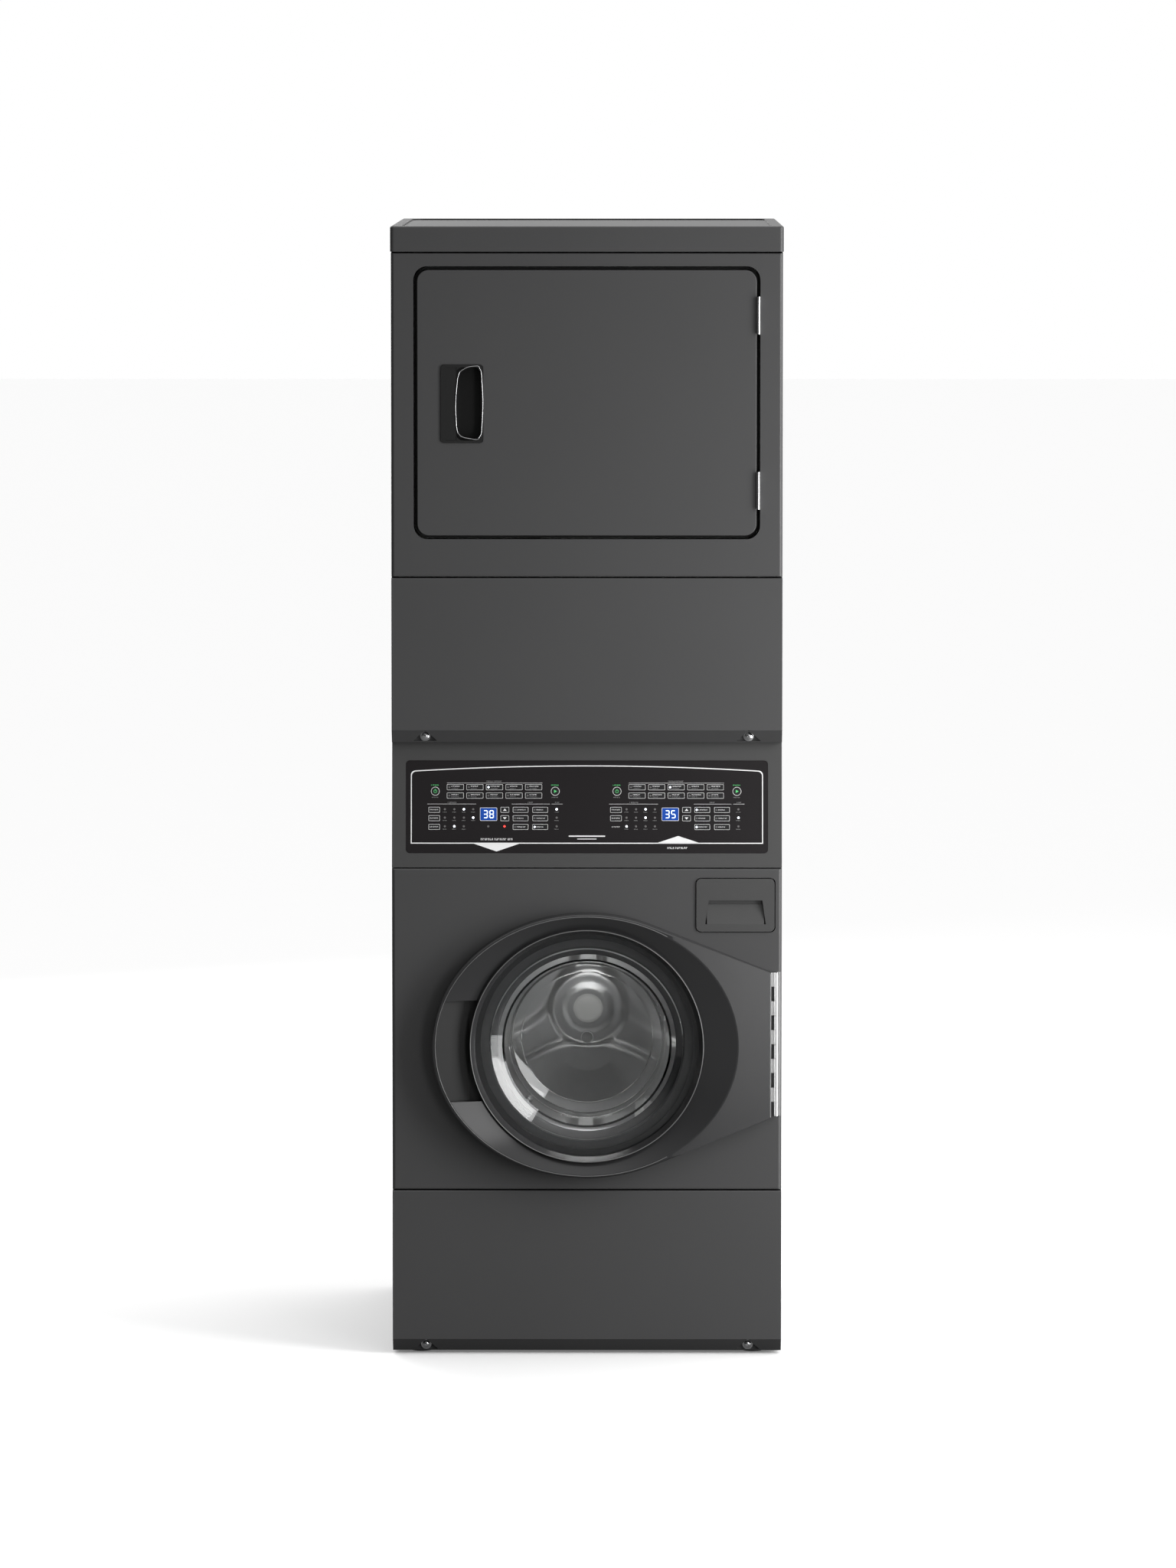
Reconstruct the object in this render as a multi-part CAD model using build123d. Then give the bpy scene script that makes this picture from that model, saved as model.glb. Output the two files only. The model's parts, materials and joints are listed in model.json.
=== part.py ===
"""A stacked laundry pair: a front-loading washer, a sloped control console and a dryer above it.

Frame: millimetres, +Z up, the front faces -Y, the origin is on the floor at the middle of the footprint.
"""
from build123d import *
import math
import os

# ---- driving dimensions -------------------------------------------------------------------
HALF_W = 341.5        # half the width of the cabinets and front panels
TOP_HALF_W = 342.8    # half the width of the dryer's top panel
HEIGHT = 1984.0
FRONT = -350.0        # face of the front panels
BACK = 350.0          # outside of the rear walls
REACH = 42.0          # how far the washer door stands out in front, and the ports behind
SHEET = 1.2           # sheet steel
RETURN = 23.0         # depth of a front panel's folded sides
WRAP_Y = FRONT + RETURN + 1.0   # front edge of the cabinet sides
EDGE_R = 6.0          # rounded front corners
EASE = 2.4            # rounding of a panel's folded top and bottom edges
GAP = 1.2             # half the joint between two panels

FOOT_XY = 292.0
PANEL_FOOT = 5.6      # underside of the washer's lower panel
WASHER_SPLIT = 293.0  # joint between the washer's lower and front panels
CONSOLE_LOW = 861.3   # joint between the washer front and the console
CONSOLE_TOP = 1080.6  # joint between the console and the dryer's lower panel
DRYER_SPLIT = 1371.6  # joint between the dryer's lower and front panels
TOP_SKIRT = 1939.8    # underside of the top panel's skirt
BEVEL_DROP = 22.5     # height of the bevel along the bottom of each lower panel
BEVEL_IN = 17.0
SCREW_X = 283.0

DOOR_Z = 552.0        # washer door, tub and drum axis
DOOR_A, DOOR_B = 271.0, 232.0       # half width and half height of the door's oval side
DOOR_EDGE_X, DOOR_EDGE_H = 321.0, 128.0   # straight hinge side: its x and half height
DOOR_BACK_Y = FRONT - 2.0
DOOR_FRONT_Y = FRONT - REACH
HINGE_X, HINGE_Y = 331.7, -357.0
HINGE_R, PIN_R, PIN_FIT = 4.2, 2.0, 0.05
KNUCKLE, KNUCKLES = 25.4, 10
MOUTH_R = 172.0       # hole in the washer's front panel

DRAWER_X, DRAWER_Z = 260.3, 796.4
DRAWER_W, DRAWER_H, DRAWER_D = 137.0, 93.0, 190.0
TRAY_LOW = 790.0      # underside of the detergent tray, above the tub's shoulder

TUB_R, TUB_FRONT, TUB_REAR = 286.0, -308.0, 190.0
DRUM_R, DRUM_FRONT, DRUM_REAR = 258.0, -290.0, 150.0
BASKET_WALL = 1.5
SHAFT_R = 12.0
WASH_PULLEY_R, WASH_PULLEY_Y = 140.0, 225.0
WASH_MOTOR_X, WASH_MOTOR_Z, MOTOR_PULLEY_R = 0.0, 172.0, 14.0
BELT_T, BELT_W, BELT_FIT = 3.0, 10.0, 0.3

DRY_DOOR_W, DRY_DOOR_H, DRY_DOOR_Z = 591.5, 462.7, 1676.4
DRY_OPEN_W, DRY_OPEN_H = 604.4, 476.2
DRY_DOOR_D = 34.0
DRY_HINGE_X, DRY_HINGE_Y = 298.8, -356.0
DRY_HINGE_Z = (1829.0, 1523.6)
DRY_HINGE_LEN = 65.3
DRYER_AXIS_Z, DRYER_R = 1612.0, 308.0
DRYER_FRONT, DRYER_REAR = -288.0, 236.0
HATCH_R, HATCH_Z = 205.0, 1664.0
HANDLE_X, HANDLE_Z, HANDLE_W, HANDLE_H = -217.6, 1675.0, 74.0, 136.0
DUCT_R, DUCT_X, DUCT_Z = 50.8, 110.0, 1158.0
ROTOR_X, ROTOR_Z = -130.0, 1193.0
IDLER_X, IDLER_Z, IDLER_R = -20.0, 1232.0, 20.0
DRY_BELT_Y = 70.0

SLOPE = math.degrees(math.atan2(27.0, CONSOLE_TOP - CONSOLE_LOW))
CONSOLE_Y0 = FRONT + 4.0            # console face at its bottom edge
OVERLAY_W, OVERLAY_LOW, OVERLAY_HIGH = 634.0, 887.0, 1048.0


# ---- helpers ------------------------------------------------------------------------------
def block(x0, x1, y0, y1, z0, z1):
    """A box given by its corners."""
    centre = Pos((x0 + x1) / 2, (y0 + y1) / 2, (z0 + z1) / 2)
    return centre * Box(abs(x1 - x0), abs(y1 - y0), abs(z1 - z0))


def rod_y(r, x, z, y0, y1):
    """A cylinder along Y."""
    return Pos(x, (y0 + y1) / 2, z) * Rot(90, 0, 0) * Cylinder(r, abs(y1 - y0))


def rod_z(r, x, y, z0, z1):
    return Pos(x, y, (z0 + z1) / 2) * Cylinder(r, abs(z1 - z0))


def tube_y(r_out, r_in, x, z, y0, y1):
    return rod_y(r_out, x, z, y0, y1) - rod_y(r_in, x, z, min(y0, y1) - 1, max(y0, y1) + 1)


def turned(points, x, z):
    """A solid turned about an axis along Y through x, z from (radius, y) points."""
    profile = Plane.XY * make_face(Polyline(*[(r, y, 0) for r, y in points], close=True))
    return Pos(x, 0, z) * revolve(profile, Axis.Y)


def side_prism(points, x0, x1):
    """A prism along X from (y, z) points."""
    wire = Polyline(*[(x0, y, z) for y, z in points], close=True)
    return extrude(make_face(wire), x1 - x0, dir=(1, 0, 0))


def front_prism(points, y0, y1):
    """A prism along Y from (x, z) points."""
    wire = Polyline(*[(x, y0, z) for x, z in points], close=True)
    return extrude(make_face(wire), y1 - y0, dir=(0, 1, 0))


def rounded_slab(w, h, r, x, z, y0, y1):
    """A slab with rounded corners, upright in the XZ plane."""
    plane = Plane(origin=(x, y0, z), x_dir=(1, 0, 0), z_dir=(0, 1, 0))
    return extrude(plane * RectangleRounded(w, h, r), y1 - y0)


def round_upright_edges(solid, y_face, radius):
    """Round the upright edges that lie in the plane y = y_face."""
    edges = solid.edges().filter_by(Axis.Z).filter_by(lambda e: abs(e.center().Y - y_face) < 0.05)
    return fillet(edges, radius)


def eased(z, side):
    """(y, z) points round a folded edge at the front; side is 1 for a top edge and -1 for a bottom one."""
    turns = [math.pi / 2 + i * math.pi / 8 for i in range(5)]
    return [(FRONT + EASE * (1 + math.cos(t)), z - side * EASE * (1 - math.sin(t))) for t in turns]


def folded_panel(z0, z1):
    """A front panel of sheet: a face with rounded corners and four folded edges, open behind."""
    rear = FRONT + RETURN
    outer = side_prism([(rear, z1), *eased(z1, 1), *reversed(eased(z0, -1)), (rear, z0)], -HALF_W, HALF_W)
    outer = outer & round_upright_edges(block(-HALF_W, HALF_W, FRONT, rear, z0, z1), FRONT, EDGE_R)
    inner = block(-HALF_W + SHEET, HALF_W - SHEET, FRONT + SHEET, FRONT + RETURN + 1, z0 + SHEET, z1 - SHEET)
    return outer - round_upright_edges(inner, FRONT + SHEET, EDGE_R - SHEET)


def lower_panel(z0, z1):
    """A folded access panel whose bottom edge slopes back, with two notches for its screws."""
    knee = z0 + BEVEL_DROP
    rear = FRONT + RETURN
    face = [*eased(z1, 1), (FRONT, knee), (FRONT + BEVEL_IN, z0), (rear, z0), (rear, z1)]
    t = SHEET
    hollow = [(FRONT + t, z1 - t), (FRONT + t, knee + t / 2), (FRONT + BEVEL_IN + t / 2, z0 + t),
              (rear + 1, z0 + t), (rear + 1, z1 - t)]
    shell = side_prism(face, -HALF_W, HALF_W) - side_prism(hollow, -HALF_W + t, HALF_W - t)
    for side in (-1, 1):
        x = side * SCREW_X
        notch = [(x - 21, z0 + 2.5), (x + 21, z0 + 2.5), (x, z0 + BEVEL_DROP)]
        pocket = [(x - 25, z0 + 0.6), (x + 25, z0 + 0.6), (x, z0 + BEVEL_DROP + 3)]
        keep = side_prism(face, -HALF_W, HALF_W)
        shell = shell + (front_prism(pocket, FRONT + 1, rear) & keep)
        shell = shell - front_prism(notch, FRONT - 1, rear - 3.5)
        shell = shell - rod_y(2.6, x, z0 + 11.2, FRONT, rear + 1)
    return shell


def belt(circles, y):
    """A flat belt stretched round circles given as (x, z, radius), in order round the loop."""
    def loop(extra):
        edges = []
        count = len(circles)
        touch = []
        for i, (x0, z0, r0) in enumerate(circles):
            x1, z1, r1 = circles[(i + 1) % count]
            dx, dz = x1 - x0, z1 - z0
            gap = math.hypot(dx, dz)
            lean = math.atan2(dz, dx) - math.acos((r0 - r1) / gap)
            nx, nz = math.cos(lean), math.sin(lean)
            touch.append(((x0 + nx * (r0 + extra), z0 + nz * (r0 + extra)),
                          (x1 + nx * (r1 + extra), z1 + nz * (r1 + extra)), lean))
        for i, (start, end, lean) in enumerate(touch):
            edges.append(Line((start[0], y, start[1]), (end[0], y, end[1])))
            nxt = touch[(i + 1) % count]
            x1, z1, r1 = circles[(i + 1) % count]
            turn = (nxt[2] - lean) % (2 * math.pi)
            mid = lean + turn / 2
            radius = r1 + extra
            middle = (x1 + radius * math.cos(mid), y, z1 + radius * math.sin(mid))
            edges.append(ThreePointArc((end[0], y, end[1]), middle, (nxt[0][0], y, nxt[0][1])))
        return extrude(make_face(Wire(edges)), BELT_W, dir=(0, 1, 0))
    return loop(BELT_FIT + BELT_T) - Pos(0, -1, 0) * loop(BELT_FIT) - Pos(0, 1, 0) * loop(BELT_FIT)


# ---- washer cabinet -----------------------------------------------------------------------
def base_frame():
    """A channel frame behind the lower panel, with a threaded boss over each foot."""
    low, high = 20.0, 46.0
    frame = block(-338, 338, -322, 346, low, high) - block(-318, 318, -302, 326, low - 1, high + 1)
    frame = frame - block(-336, 336, -320, 344, low - 1, high - 3)
    for x in (-FOOT_XY, FOOT_XY):
        for y in (-FOOT_XY, FOOT_XY):
            corner = block(x - 30, x + 30, y - 30, y + 50, high - 4, high)
            frame = frame + corner + rod_z(11, x, y, low + 4, high)
    for x in (-FOOT_XY, FOOT_XY):
        for y in (-FOOT_XY, FOOT_XY):
            frame = frame - rod_z(5.3, x, y, low - 1, high - 5)
    crossbar = block(-318.5, 318.5, -30, 30, high - 4, high)
    return frame + crossbar


def leveling_feet():
    """Four rubber-soled feet on threaded studs, each with a lock nut."""
    feet = []
    for x in (-FOOT_XY, FOOT_XY):
        for y in (-FOOT_XY, FOOT_XY):
            foot = rod_z(20, x, y, 0, 9) + rod_z(5, x, y, 9, 39)
            nut = extrude(Pos(x, y, 13) * RegularPolygon(9, 6), 6)
            feet.append(foot + nut)
    return Compound(feet)


def washer_cabinet():
    """Sides and back bent from one sheet, with a rail on each side for a tub spring."""
    side = [(WRAP_Y, 9), (WRAP_Y, CONSOLE_LOW), (-299, CONSOLE_LOW), (-299, 1080), (BACK, 1080), (BACK, 9)]
    wrap = round_upright_edges(side_prism(side, -HALF_W, HALF_W), BACK, EDGE_R + 1)
    inside = block(-HALF_W + SHEET, HALF_W - SHEET, FRONT - 1, BACK - SHEET, 0, 1082)
    wrap = wrap - round_upright_edges(inside, BACK - SHEET, EDGE_R)
    for x in (-40, 40):
        wrap = wrap - rod_y(14.0, x + 200, 960, BACK - 3, BACK + 1)
    wrap = wrap - rod_y(16.5, -230, 120, BACK - 3, BACK + 1)
    for row in range(6):
        z = 1000 + 9 * row
        wrap = wrap - block(-220, -120, BACK - 3, BACK + 1, z, z + 3)
    for side in (-1, 1):
        wrap = wrap + block(side * 298, side * (HALF_W - SHEET / 2), -30, 30, 900.05, 908)
    return wrap


def washer_front_panel():
    """Folded front with the round mouth, the drawer opening and the latch slot."""
    panel = folded_panel(WASHER_SPLIT + GAP, CONSOLE_LOW - GAP)
    panel = panel - rod_y(MOUTH_R, 0, DOOR_Z, FRONT - 1, FRONT + 5)
    w, h = DRAWER_W + 3, DRAWER_H + 3
    panel = panel - rounded_slab(w, h, 9, DRAWER_X, DRAWER_Z, FRONT - 1, FRONT + 5)
    lip = tube_y(MOUTH_R + SHEET, MOUTH_R, 0, DOOR_Z, FRONT + 0.5, FRONT + 10)
    panel = panel + lip
    return panel - block(-222, -204, FRONT - 1, FRONT + 3, DOOR_Z - 16, DOOR_Z + 16)


def access_panel_screws():
    """Slotted round-head screws, two at the foot of each lower panel."""
    screws = []
    for z0 in (PANEL_FOOT, CONSOLE_TOP + GAP / 2):
        face = FRONT + RETURN - 3.5
        for x in (-SCREW_X, SCREW_X):
            z = z0 + 11.2
            head = rod_y(6.2, x, z, face - 3.6, face - 0.05) & (Pos(x, face + 3, z) * Sphere(7.2))
            head = head - block(x - 7, x + 7, face - 9, face - 3.2, z - 0.7, z + 0.7)
            screws.append(head + rod_y(2.4, x, z, face - 1, face + 12))
    return Compound(screws)


def dispenser_housing():
    """Open-fronted plastic box that holds the drawer, with a spray manifold on top."""
    w = DRAWER_W - 6
    y0, y1 = FRONT + 9.5, FRONT + DRAWER_D + 30
    wall = 2.5
    x0, x1 = DRAWER_X - w / 2 - wall, DRAWER_X + w / 2 + wall
    z0, z1 = TRAY_LOW - 2 - wall, DRAWER_Z + DRAWER_H / 2
    box = block(x0, x1, y0, y1, z0, z1) - block(x0 + wall, x1 - wall, y0 - 1, y1 - wall, z0 + wall, z1 - wall)
    manifold = block(x0 + 12, x1 - 12, y0 + 40, y1 - 10, z1 - 0.5, z1 + 12)
    spout = rod_y(12, x0 + 35, z0 + 22, y1 - 0.5, y1 + 22)
    return box + manifold + spout


def dispenser_drawer():
    """Drawer front with a hooded finger grip, and the tray behind it with two partitions."""
    front = rounded_slab(DRAWER_W, DRAWER_H, 9, DRAWER_X, DRAWER_Z, FRONT - 3, FRONT + 9)
    top, low = 805.0, 763.0
    grip = [(DRAWER_X - 53, low), (DRAWER_X + 53, low), (DRAWER_X + 47, top), (DRAWER_X - 47, top)]
    pocket = front_prism(grip, FRONT - 4, FRONT + 6.5)
    floor = [(FRONT - 3, low), (FRONT + 5, top - 7), (FRONT + 9, top - 7), (FRONT + 9, low)]
    slope = side_prism(floor, DRAWER_X - 50, DRAWER_X + 50) & front_prism(grip, FRONT - 4, FRONT + 9)
    front = front - pocket + slope
    w = DRAWER_W - 12
    x0, x1 = DRAWER_X - w / 2, DRAWER_X + w / 2
    z0, z1 = TRAY_LOW, DRAWER_Z + DRAWER_H / 2 - 7
    y0, y1 = FRONT + 9.05, FRONT + 9 + DRAWER_D
    tray = block(x0, x1, y0, y1, z0, z1) - block(x0 + 2, x1 - 2, y0 + 2, y1 - 2, z0 + 2, z1 + 1)
    tray = tray + block(DRAWER_X - 1, DRAWER_X + 1, y0 + 1, y1 - 1, z0 + 1, z1 - 8)
    tray = tray + block(DRAWER_X, x1 - 1, y0 + 90, y0 + 92, z0 + 1, z1 - 8)
    return front, tray


def door_gasket():
    """Rubber bellows between the front panel's lip and the tub's neck."""
    y0, y1 = FRONT + 12.0, TUB_FRONT - 0.5
    mid = (y0 + y1) / 2
    profile = [(158, y0 + 2), (164, y0), (177, y0), (177, y0 + 6), (168, y0 + 8), (168, mid - 3),
               (180, mid), (168, mid + 4), (168, y1 - 3), (182, y1 - 3), (182, y1), (162, y1),
               (162, mid + 5), (173, mid), (162, mid - 5), (162, y0 + 6), (158, y0 + 5)]
    return turned(profile, 0, DOOR_Z)


def washer_door_lock():
    """Lock box behind the latch slot, open towards the door."""
    box = block(-236, -200, FRONT + 4, FRONT + 34, DOOR_Z - 40, DOOR_Z + 40)
    return box - block(-226, -202, FRONT + 3, FRONT + 24, DOOR_Z - 18, DOOR_Z + 18)


def inlet_valves():
    """Hot and cold inlet valves: threaded ends behind the cabinet, bodies and coils inside."""
    valves = []
    for x in (160, 240):
        end = rod_y(12.4, x, 960, BACK - 2, BACK) + rod_y(13.1, x, 960, BACK, BACK + 24)
        end = end - rod_y(9.5, x, 960, BACK + 4, BACK + 25)
        flange = block(x - 18, x + 18, BACK - 6, BACK - SHEET - 0.1, 942, 978)
        body = rod_y(11, x, 960, BACK - 40, BACK - 5)
        coil = rod_z(14, x, BACK - 26, 970, 1004)
        valves.append(end + flange + body + coil)
    return Compound(valves)


def drain_pump():
    """Drain pump on the base, with its pipe to the outlet behind the cabinet."""
    body = rod_y(42, -230, 120, -240, -150) + rod_y(30, -230, 120, -150, -90)
    pipe = rod_y(15.0, -230, 120, -90.5, BACK) + rod_y(15.8, -230, 120, BACK, BACK + 30)
    pipe = pipe - rod_y(12.5, -230, 120, -40, BACK + 31)
    foot = block(-262, -198, -230, -160, 46.1, 90)
    return body + pipe + foot


def terminal_cover():
    """Mains terminal box on the back, with the hole for the cord's clamp in its underside."""
    box = block(-300, -200, BACK + 0.05, BACK + 34, 1130, 1230)
    box = box - block(-297, -203, BACK - 1, BACK + 31, 1133, 1227)
    return box - rod_z(14.3, -278, BACK + 16, 1125, 1140)


def damper_cylinders():
    """Two friction dampers standing on the base frame's crossbar."""
    parts = []
    for x in (-150, 150):
        tube = rod_z(14, x, 0, 46.05, 190) - rod_z(10.05, x, 0, 60, 191)
        parts.append(tube)
    return Compound(parts)


def suspension_springs():
    """Two coil springs that carry the tub, drawn as closed sleeves of the coil's outside size."""
    parts = []
    for x in (-315, 315):
        parts.append(rod_z(12, x, 0, 745, 900) - rod_z(8, x, 0, 744, 901))
    return Compound(parts)


# ---- tub and drum -------------------------------------------------------------------------
def outer_tub():
    """Plastic tub in two halves that meet at a flange; the rear half carries the bearing."""
    seam = -60.0
    wall = 5.0
    r_in = TUB_R - wall
    front = turned([(170, TUB_FRONT), (180, TUB_FRONT), (184, TUB_FRONT + 6), (r_in - 6, TUB_FRONT + 6),
                    (TUB_R, TUB_FRONT + 16), (TUB_R, seam - 6), (TUB_R + 8, seam - 6), (TUB_R + 8, seam - 0.05),
                    (r_in, seam - 0.05), (r_in, TUB_FRONT + 18), (r_in - 8, TUB_FRONT + 11),
                    (176, TUB_FRONT + 11), (170, TUB_FRONT + 4)], 0, DOOR_Z)
    rear = turned([(SHAFT_R + 0.06, TUB_REAR - 27), (34, TUB_REAR - 27), (34, TUB_REAR - wall),
                   (r_in, TUB_REAR - wall), (r_in, seam), (TUB_R + 8, seam), (TUB_R + 8, seam + 6),
                   (TUB_R, seam + 6), (TUB_R, TUB_REAR), (50, TUB_REAR), (50, TUB_REAR + 14),
                   (SHAFT_R + 0.06, TUB_REAR + 14)], 0, DOOR_Z)
    for side in (-1, 1):
        ear = block(side * 205, side * 329, -18, 18, 728, 744.95)
        ear = ear - rod_y(TUB_R - 2, 0, DOOR_Z, -19, 19)
        rear = rear + ear
    for x in (-150, 150):
        lug = block(x - 14, x + 14, -14, 14, 290, 330) - rod_y(TUB_R - 2, 0, DOOR_Z, -15, 15)
        rear = rear + lug
    return front, rear


def damper_rods():
    """Two rods that slide in the dampers, fixed to lugs under the tub."""
    return Compound([rod_z(10, x, 0, 110, 289.95) for x in (-150, 150)])


def tub_counterweight():
    """Concrete weight above the mouth, a half ring on the tub's front."""
    ring = tube_y(TUB_R - 6, 190, 0, DOOR_Z, TUB_FRONT - 0.05 - 18, TUB_FRONT - 0.05)
    return ring & block(-230, 230, TUB_FRONT - 30, TUB_FRONT + 30, DOOR_Z + 90, DOOR_Z + 300)


def wash_motor():
    """Drive motor under the tub, hung from it by a bracket."""
    x, z = WASH_MOTOR_X, WASH_MOTOR_Z
    body = rod_y(62, x, z, 60, 190) + rod_y(20, x, z, 190, 205)
    body = body - rod_y(8.06, x, z, 150, 206)
    hanger = block(x - 30, x + 30, 70, 170, z + 50, DOOR_Z - TUB_R + 12)
    return body + (hanger - rod_y(TUB_R + 0.05, 0, DOOR_Z, 0, 200))


def wash_motor_pulley():
    shaft = rod_y(8, WASH_MOTOR_X, WASH_MOTOR_Z, 160, 236)
    return shaft + rod_y(MOTOR_PULLEY_R, WASH_MOTOR_X, WASH_MOTOR_Z, WASH_PULLEY_Y - 8, WASH_PULLEY_Y + 8)


def wash_belt():
    circles = [(0, DOOR_Z, WASH_PULLEY_R), (WASH_MOTOR_X, WASH_MOTOR_Z, MOTOR_PULLEY_R)]
    return belt(circles, WASH_PULLEY_Y - BELT_W / 2)


def wash_drum():
    """Steel basket with a rolled mouth, a pressed back and rows of drain holes."""
    t = BASKET_WALL
    shell = turned([(190, DRUM_FRONT), (DRUM_R - 14, DRUM_FRONT), (DRUM_R, DRUM_FRONT + 12),
                    (DRUM_R, DRUM_REAR), (60, DRUM_REAR), (60, DRUM_REAR - t), (DRUM_R - t, DRUM_REAR - t),
                    (DRUM_R - t, DRUM_FRONT + 12 + t), (DRUM_R - 15, DRUM_FRONT + t + 0.6),
                    (193, DRUM_FRONT + t), (193, DRUM_FRONT + 8), (190, DRUM_FRONT + 8)], 0, DOOR_Z)
    hub = turned([(0, DRUM_REAR - 22), (56, DRUM_REAR - 22), (70, DRUM_REAR - 1), (60, DRUM_REAR - 0.5),
                  (52, DRUM_REAR - 20), (0, DRUM_REAR - 20)], 0, DOOR_Z)
    return shell + hub


def wash_drum_baffles():
    """Three lifters inside the basket."""
    parts = []
    wedge = [(-34, -252), (34, -252), (10, -200), (-10, -200)]
    for turn in (90, 210, 330):
        lifter = front_prism(wedge, -240, 110) & rod_y(DRUM_R - BASKET_WALL - 0.05, 0, 0, -241, 111)
        parts.append(Pos(0, 0, DOOR_Z) * Rot(0, turn, 0) * lifter)
    return Compound(parts)


def drum_spider():
    """Cast three-armed spider behind the basket, with the drive shaft."""
    y0, y1 = DRUM_REAR + 0.05, DRUM_REAR + 10
    spider = rod_y(40, 0, DOOR_Z, y0, y1) + rod_y(SHAFT_R, 0, DOOR_Z, y0, WASH_PULLEY_Y + 16)
    for turn in (30, 150, 270):
        arm = block(0, DRUM_R - 6, y0, y1, -14, 14)
        spider = spider + Pos(0, 0, DOOR_Z) * Rot(0, turn, 0) * arm
    return spider


def drum_pulley():
    """Spoked pulley on the rear end of the drum shaft."""
    y0, y1 = WASH_PULLEY_Y - 9, WASH_PULLEY_Y + 9
    rim = tube_y(WASH_PULLEY_R, WASH_PULLEY_R - 8, 0, DOOR_Z, y0, y1)
    hub = tube_y(26, SHAFT_R + 0.02, 0, DOOR_Z, y0, y1)
    for turn in range(0, 360, 60):
        spoke = block(22, WASH_PULLEY_R - 6, WASH_PULLEY_Y - 4, WASH_PULLEY_Y + 4, -9, 9)
        hub = hub + Pos(0, 0, DOOR_Z) * Rot(0, turn, 0) * spoke
    return rim + hub


# ---- washer door --------------------------------------------------------------------------
def door_outline(a, b, edge_x, edge_h):
    """Half an oval whose tangents run to the ends of a straight upright edge."""
    reach = math.hypot(edge_x / a, edge_h / b)
    touch = math.degrees(math.atan2(edge_h / b, edge_x / a) + math.acos(1 / reach))
    arc = EllipticalCenterArc((0, 0), a, b, start_angle=touch, arc_size=360 - 2 * touch)
    corners = [(edge_x, -edge_h), (edge_x, edge_h)]
    return make_face([arc, Polyline(arc @ 1, *corners, arc @ 0)])


def door_slab(shrink, y0, y1):
    """The door's outline, made smaller all round, between two depths."""
    face = door_outline(DOOR_A - shrink, DOOR_B - shrink, DOOR_EDGE_X - shrink, DOOR_EDGE_H - shrink * 0.6)
    return Pos(0, y1, DOOR_Z) * Rot(90, 0, 0) * extrude(face, y1 - y0)


def plan_prism(points, z0, z1):
    """A prism along Z from (x, y) points."""
    wire = Polyline(*[(x, y, z0) for x, y in points], close=True)
    return extrude(make_face(wire), z1 - z0, dir=(0, 0, 1))


GRIP_Z, GRIP_H = 543.0, 89.0         # middle and half height of the grip
GRIP_OUT, GRIP_IN = -264.0, -205.5
DISH_A, DISH_B, DISH_DEPTH = 263.5, 226.5, 13.0


def oval_slab(a, b, y0, y1):
    face = Plane(origin=(0, y0, DOOR_Z), x_dir=(1, 0, 0), z_dir=(0, -1, 0)) * Ellipse(a, b)
    return extrude(face, y1 - y0, dir=(0, 1, 0))


def door_dish():
    """A shallow funnel from an oval rim down to the round glass."""
    over = 1.3
    grow = over / DISH_DEPTH
    rim = Plane(origin=(0, DOOR_FRONT_Y - over, DOOR_Z), x_dir=(1, 0, 0), z_dir=(0, -1, 0))
    foot = rim.offset(-over - DISH_DEPTH)
    r = 205.9
    return loft([rim * Ellipse(DISH_A + (DISH_A - r) * grow, DISH_B + (DISH_B - r) * grow), foot * Circle(r)])


def washer_door_frame():
    """Moulded ring with a dished face, a wing that slopes to the hinge and a recess for the grip."""
    y0, y1 = DOOR_FRONT_Y, DOOR_BACK_Y
    slab = door_slab(0, y0, y1)
    front_edge = slab.edges().filter_by(lambda e: abs(e.center().Y - y0) < 0.05)
    slab = chamfer(front_edge, 2.0)
    wing = [(150, y0 - 0.01), (340, y0 + 21), (340, y0 - 10), (150, y0 - 10)]
    wedge = plan_prism(wing, DOOR_Z - 300, DOOR_Z + 300) - oval_slab(DISH_A + 2.5, DISH_B + 2.5, y0 - 12, y1)
    frame = slab - wedge - door_dish() - rod_y(204, 0, DOOR_Z, y0 - 1, y1 + 1)
    recess = [(GRIP_OUT - 3, y0 + 4.6), (GRIP_OUT - 3, y0 - 2), (-170, y0 - 2), (-170, y0 + 28), (GRIP_IN, y0 + 28)]
    grip = plan_prism(recess, GRIP_Z - GRIP_H, GRIP_Z + GRIP_H) & door_slab(4.5, y0 - 3, y1)
    return frame - grip


def washer_door_handle():
    """Grip plate that lines the recess on the door's free side and slopes inwards."""
    y0 = DOOR_FRONT_Y
    slope = [(GRIP_OUT, y0 + 4.2), (GRIP_OUT, y0 + 3), (GRIP_IN, y0 + 24), (-172, y0 + 24), (-172, y0 + 27.6),
             (GRIP_IN, y0 + 27.6)]
    plate = plan_prism(slope, GRIP_Z - GRIP_H + 0.1, GRIP_Z + GRIP_H - 0.1)
    plate = plate & door_slab(4.6, y0 - 3, DOOR_BACK_Y)
    return plate - rod_y(204.1, 0, DOOR_Z, y0 - 2, DOOR_BACK_Y + 1)


def washer_door_bezel():
    """Inner ring that clamps the glass to the frame."""
    y0 = DOOR_FRONT_Y + 4
    return turned([(203.9, y0), (203.9, DOOR_BACK_Y), (186, DOOR_BACK_Y), (186, DOOR_BACK_Y - 8),
                   (196, DOOR_BACK_Y - 8), (196, y0 + 12)], 0, DOOR_Z)


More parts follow.
